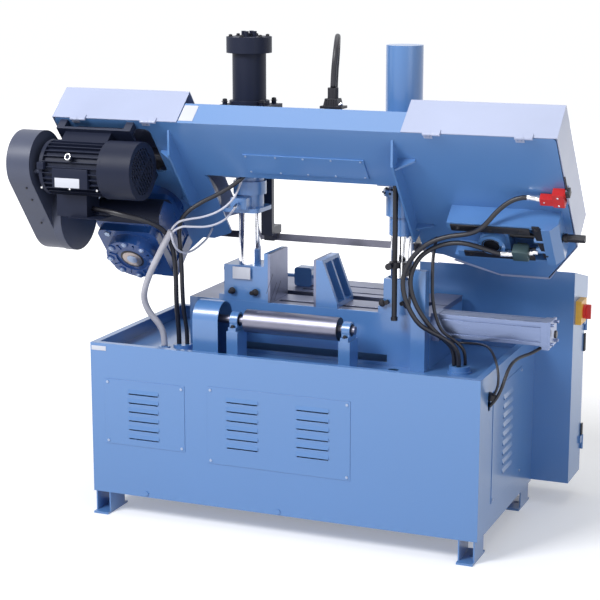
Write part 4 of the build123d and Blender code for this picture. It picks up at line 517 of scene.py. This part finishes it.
seal.cyl((GEAR_X, GEAR_P, -0.2750), (GEAR_X, GEAR_P, -0.2772), 0.038).done()
dark = Piece("gearbox_seal_ring", "head", "black", BOW)
dark.cyl((GEAR_X, GEAR_P, -0.2745), (GEAR_X, GEAR_P, -0.2762), 0.046).done()
heads.cyl((-0.700, 0.352, -0.2395), (-0.700, 0.352, -0.2475), 0.012, n=6)
heads.cyl((GEAR_X, GEAR_P, -0.277), (GEAR_X, GEAR_P, -0.2795), 0.020).done()
ribs = Piece("gearbox_case_ribs", "head", "gear", BOW)
for q in (-0.20, -0.16, -0.12, -0.08):
    ribs.box(-0.748, -0.502, 0.350, 0.583, q - 0.003, q + 0.003, 0.001)
ribs.done()

# ---------------------------------------------------------------- motor and belt cover
axis_y, axis_z = (BOW @ Vector((0, 0.100, -0.150))).yz
motor = Piece("motor_details", "head", "charcoal")
motor.box(-0.812, -0.668, axis_y - 0.103, axis_y - 0.084, axis_z - 0.062, axis_z + 0.010, 0.003)
motor.box(-0.868, -0.84, axis_y - 0.113, axis_y - 0.090, axis_z + 0.004, axis_z + 0.030, 0.003)
motor.cyl((-0.742, axis_y - 0.088, axis_z + 0.046), (-0.742, axis_y - 0.106, axis_z + 0.052), 0.009)
for r in (0.022, 0.040, 0.058, 0.076):
    motor.hoop((-0.4995, axis_y, axis_z), (0, r, 0), (0, 0, r), 0.0016, range(0, 360, 12), 12, 6)
motor.box(-0.772, -0.640, -0.470, -0.380, 1.1385, 1.1400, 0.0004).done()
eye = Piece("motor_eye_bolt", "head", "zinc")
eye.hoop((-0.742, axis_y - 0.1075, axis_z + 0.054), (0.010, 0, 0), (0, 0.004, 0.010), 0.0028, range(0, 360, 20), 21, 10)
for x in (-0.855, -0.74, -0.63):
    eye.bolt((x, axis_y - 0.1005, axis_z - 0.062), (0, -1, 0), 0.004, 0.003, False)
eye.done()
plate = Piece("motor_bare_plate", "head", "label")
plate.box(-0.800, -0.700, axis_y - 0.1045, axis_y - 0.1028, axis_z - 0.058, axis_z - 0.024, 0.0004).done()
pins = Piece("belt_cover_screws", "head", "black", BOW)
for p, q in ((0.10, -0.2575), (0.16, -0.262), (0.27, -0.278), (0.40, -0.268)):
    pins.bolt((-0.930, p, q), FRONT, 0.0045, 0.004, False)
pins.done()

# ---------------------------------------------------------------- lift cylinder and sleeves
COLUMN_L, COLUMN_R, COLUMN_Y = -0.253, 0.347, -0.017
UP = (0, 0, 1)
cap = Piece("cylinder_cap_screws", "head", "black")
for a in range(30, 390, 60):
    c, s = cos(radians(a)), sin(radians(a))
    cap.bolt((COLUMN_L + 0.068 * c, COLUMN_Y + 0.068 * s, 1.772), UP, 0.0068, 0.008)
for x, y in ((-0.327, -0.073), (-0.179, -0.073), (-0.327, 0.039), (-0.179, 0.039)):
    cap.bolt((x, y, 1.5375), UP, 0.0085, 0.010)
cap.done()
rings = Piece("right_sleeve_ring_bolts", "head", "black")
for a in range(200, 345, 24):
    c, s = cos(radians(a)), sin(radians(a))
    rings.bolt((COLUMN_R + 0.060 * c, COLUMN_Y + 0.060 * s, 1.2435), UP, 0.0045, 0.005, False)
    rings.bolt((COLUMN_R + 0.0705 * c, COLUMN_Y + 0.0705 * s, 1.2325), (c, s, 0), 0.0045, 0.004, False)
rings.done()
unions = Piece("head_hose_unions", "head", "zinc")
unions.cyl((-0.2375, -0.121, 1.279), (-0.2375, -0.132, 1.262), 0.0075, n=6)
unions.cyl((-0.259, -0.124, 1.166), (-0.261, -0.140, 1.156), 0.0070, n=6)
unions.cyl((0.161, -0.205, 1.545), (0.182, -0.205, 1.560), 0.006)
unions.done()

# ---------------------------------------------------------------- bare labels
for name, body, span in (("base_bare_label", "base", (-0.745, -0.685, -0.3682, -0.3668, 0.630, 0.647)),
                         ("clamp_bare_label", "base", (-0.298, -0.226, -0.0812, -0.0796, 0.880, 0.925))):
    Piece(name, body, "label").box(*span, 0.0003).done()
Piece("beam_bare_label", "head", "label", BOW).box(-0.385, -0.330, -0.0012, 0.0002, 0.010, 0.085, 0.0003).done()

# ---------------------------------------------------------------- base, vise and roller
sockets = Piece("blade_socket_screws", "base", "black")
for x in (-0.300, -0.206, 0.294, 0.388):
    sockets.bolt((x, -0.0800, 0.833), (0, -1, 0), 0.0085, 0.008)
for x, y in ((-0.229, -0.236), (-0.229, -0.168), (0.209, -0.236), (0.209, -0.168)):
    sockets.bolt((x, y, 0.7300), UP, 0.0065, 0.008)
sockets.cyl((0.918, -0.030, 0.762), (0.926, -0.030, 0.762), 0.014)
sockets.done()
bright = Piece("base_bright_screws", "base", "zinc")
for x in (-0.366, -0.286):
    bright.bolt((x, -0.268, 0.635), (0, -1, 0), 0.0035, 0.003, False)
for y, z in ((-0.038, 0.730), (-0.038, 0.794), (0.018, 0.730), (0.018, 0.794)):
    bright.bolt((0.899, y, z), (1, 0, 0), 0.0055, 0.006)
bright.done()
seals = Piece("vise_end_plugs", "base", "black")
seals.cyl((0.899, -0.010, 0.762), (0.905, -0.010, 0.762), 0.022).done()
race = Piece("roller_bearing_rings", "base", "charcoal")
for x in (-0.2142, 0.2238):
    race.cyl((x - 0.0006, -0.202, 0.7525), (x + 0.0012, -0.202, 0.7525), 0.023)
race.done()
marks = Piece("jaw_grip_lines", "base", "black")
for y0, z0 in ((-0.04, 0.83), (0.00, 0.83), (-0.075, 0.87)):
    marks.box(-0.1503, -0.1497, y0 - 0.001, y0 + 0.001, z0 - 0.045, z0 + 0.045, 0,
              Matrix.Rotation(radians(-45), 4, "X"))
marks.done()
ties = Piece("hose_ties", "base", "black")
ties.cyl((0.754, -0.256, 0.566), (0.762, -0.258, 0.586), 0.013, n=24).done()
nuts = Piece("gland_nuts", "base", "plastic")
for x, y, r in ((-0.478, -0.143, 0.030), (-0.528, -0.198, 0.018), (0.585, -0.066, 0.032)):
    nuts.cyl((x, y, 0.6105), (x, y, 0.6195), r + 0.004, n=8)
nuts.done()
knob = Piece("door_hinge_blocks", "base", "plastic")
for z in (0.24, 0.60):
    knob.box(0.8945, 0.9015, 0.552, 0.572, z - 0.035, z + 0.035, 0.002)
knob.done()

# ---------------------------------------------------------------- floor and light
FLOOR_GLOW, WORLD_LIGHT = 0.28, 0.32


def seen_direct(t, kinds):
    """One for the named kinds of ray, such as rays that come straight from the camera."""
    path = t.nodes.new("ShaderNodeLightPath")
    last = path.outputs[kinds[0]]
    for kind in kinds[1:]:
        top = t.nodes.new("ShaderNodeMath")
        top.operation = "MAXIMUM"
        t.links.new(last, top.inputs[0])
        t.links.new(path.outputs[kind], top.inputs[1])
        last = top.outputs["Value"]
    return last


def stage_mat():
    """White paper that keeps its shadows near the machine and grows as white as the world further out."""
    m, t, b, link = nodes_of("studio_paper")
    tone = ramp(t, noise(t, 0.8, 3.0).outputs["Fac"], ((0.3, (0.84, 0.84, 0.85)), (0.7, (0.87, 0.87, 0.88))))
    link.new(tone.outputs["Color"], b.inputs["Base Color"])
    geo = t.nodes.new("ShaderNodeNewGeometry")
    far = t.nodes.new("ShaderNodeVectorMath")
    far.operation = "LENGTH"
    link.new(geo.outputs["Position"], far.inputs[0])
    rise = t.nodes.new("ShaderNodeMapRange")
    rise.inputs["From Min"].default_value = 1.5
    rise.inputs["From Max"].default_value = 4.5
    rise.inputs["To Min"].default_value = FLOOR_GLOW
    rise.inputs["To Max"].default_value = 1.0
    link.new(far.outputs["Value"], rise.inputs["Value"])
    glow = t.nodes.new("ShaderNodeMath")
    glow.operation = "MULTIPLY"
    link.new(rise.outputs["Result"], glow.inputs[0])
    link.new(seen_direct(t, ("Is Camera Ray", "Is Glossy Ray")), glow.inputs[1])
    link.new(glow.outputs["Value"], b.inputs["Emission Strength"])
    b.inputs["Emission Color"].default_value = (1.0, 1.0, 1.0, 1)
    b.inputs["Roughness"].default_value = 0.8
    b.inputs["Specular IOR Level"].default_value = 0.1
    return m


def floor(half=14.0):
    me = bpy.data.meshes.new("floor")
    me.from_pydata([(-half, -half, 0), (half, -half, 0), (half, half, 0), (-half, half, 0)], [], [(0, 1, 2, 3)])
    me.materials.append(stage_mat())
    o = bpy.data.objects.new("floor", me)
    bpy.context.scene.collection.objects.link(o)


def area(name, place, aim, size, power, colour=(1, 1, 1)):
    la = bpy.data.lights.new(name, "AREA")
    la.shape, la.size, la.size_y, la.energy, la.color = "RECTANGLE", size[0], size[1], power, colour
    o = bpy.data.objects.new(name, la)
    bpy.context.scene.collection.objects.link(o)
    o.location = place
    o.rotation_euler = (Vector(aim) - Vector(place)).to_track_quat("-Z", "Y").to_euler()


floor()
area("key", (-2.3, -4.5, 5.0), (0, 0, 0.9), (2.2, 2.2), 340)
area("fill", (4.6, -3.2, 2.6), (0.2, 0, 0.9), (2.4, 2.4), 45, (0.94, 0.97, 1.0))
area("top", (0.2, 0.6, 5.2), (0, 0, 0.8), (4.4, 4.0), 70)
world = bpy.data.worlds.new("studio")
bpy.context.scene.world = world
world.use_nodes = True
sky = world.node_tree.nodes["Background"]
sky.inputs["Color"].default_value = (0.97, 0.98, 1.0, 1)
strength = world.node_tree.nodes.new("ShaderNodeMapRange")
strength.inputs["To Min"].default_value = WORLD_LIGHT
strength.inputs["To Max"].default_value = 1.03
world.node_tree.links.new(seen_direct(world.node_tree, ("Is Camera Ray", "Is Glossy Ray", "Is Transmission Ray")),
                          strength.inputs["Value"])
world.node_tree.links.new(strength.outputs["Result"], sky.inputs["Strength"])
bpy.context.scene.view_settings.view_transform = "Standard"
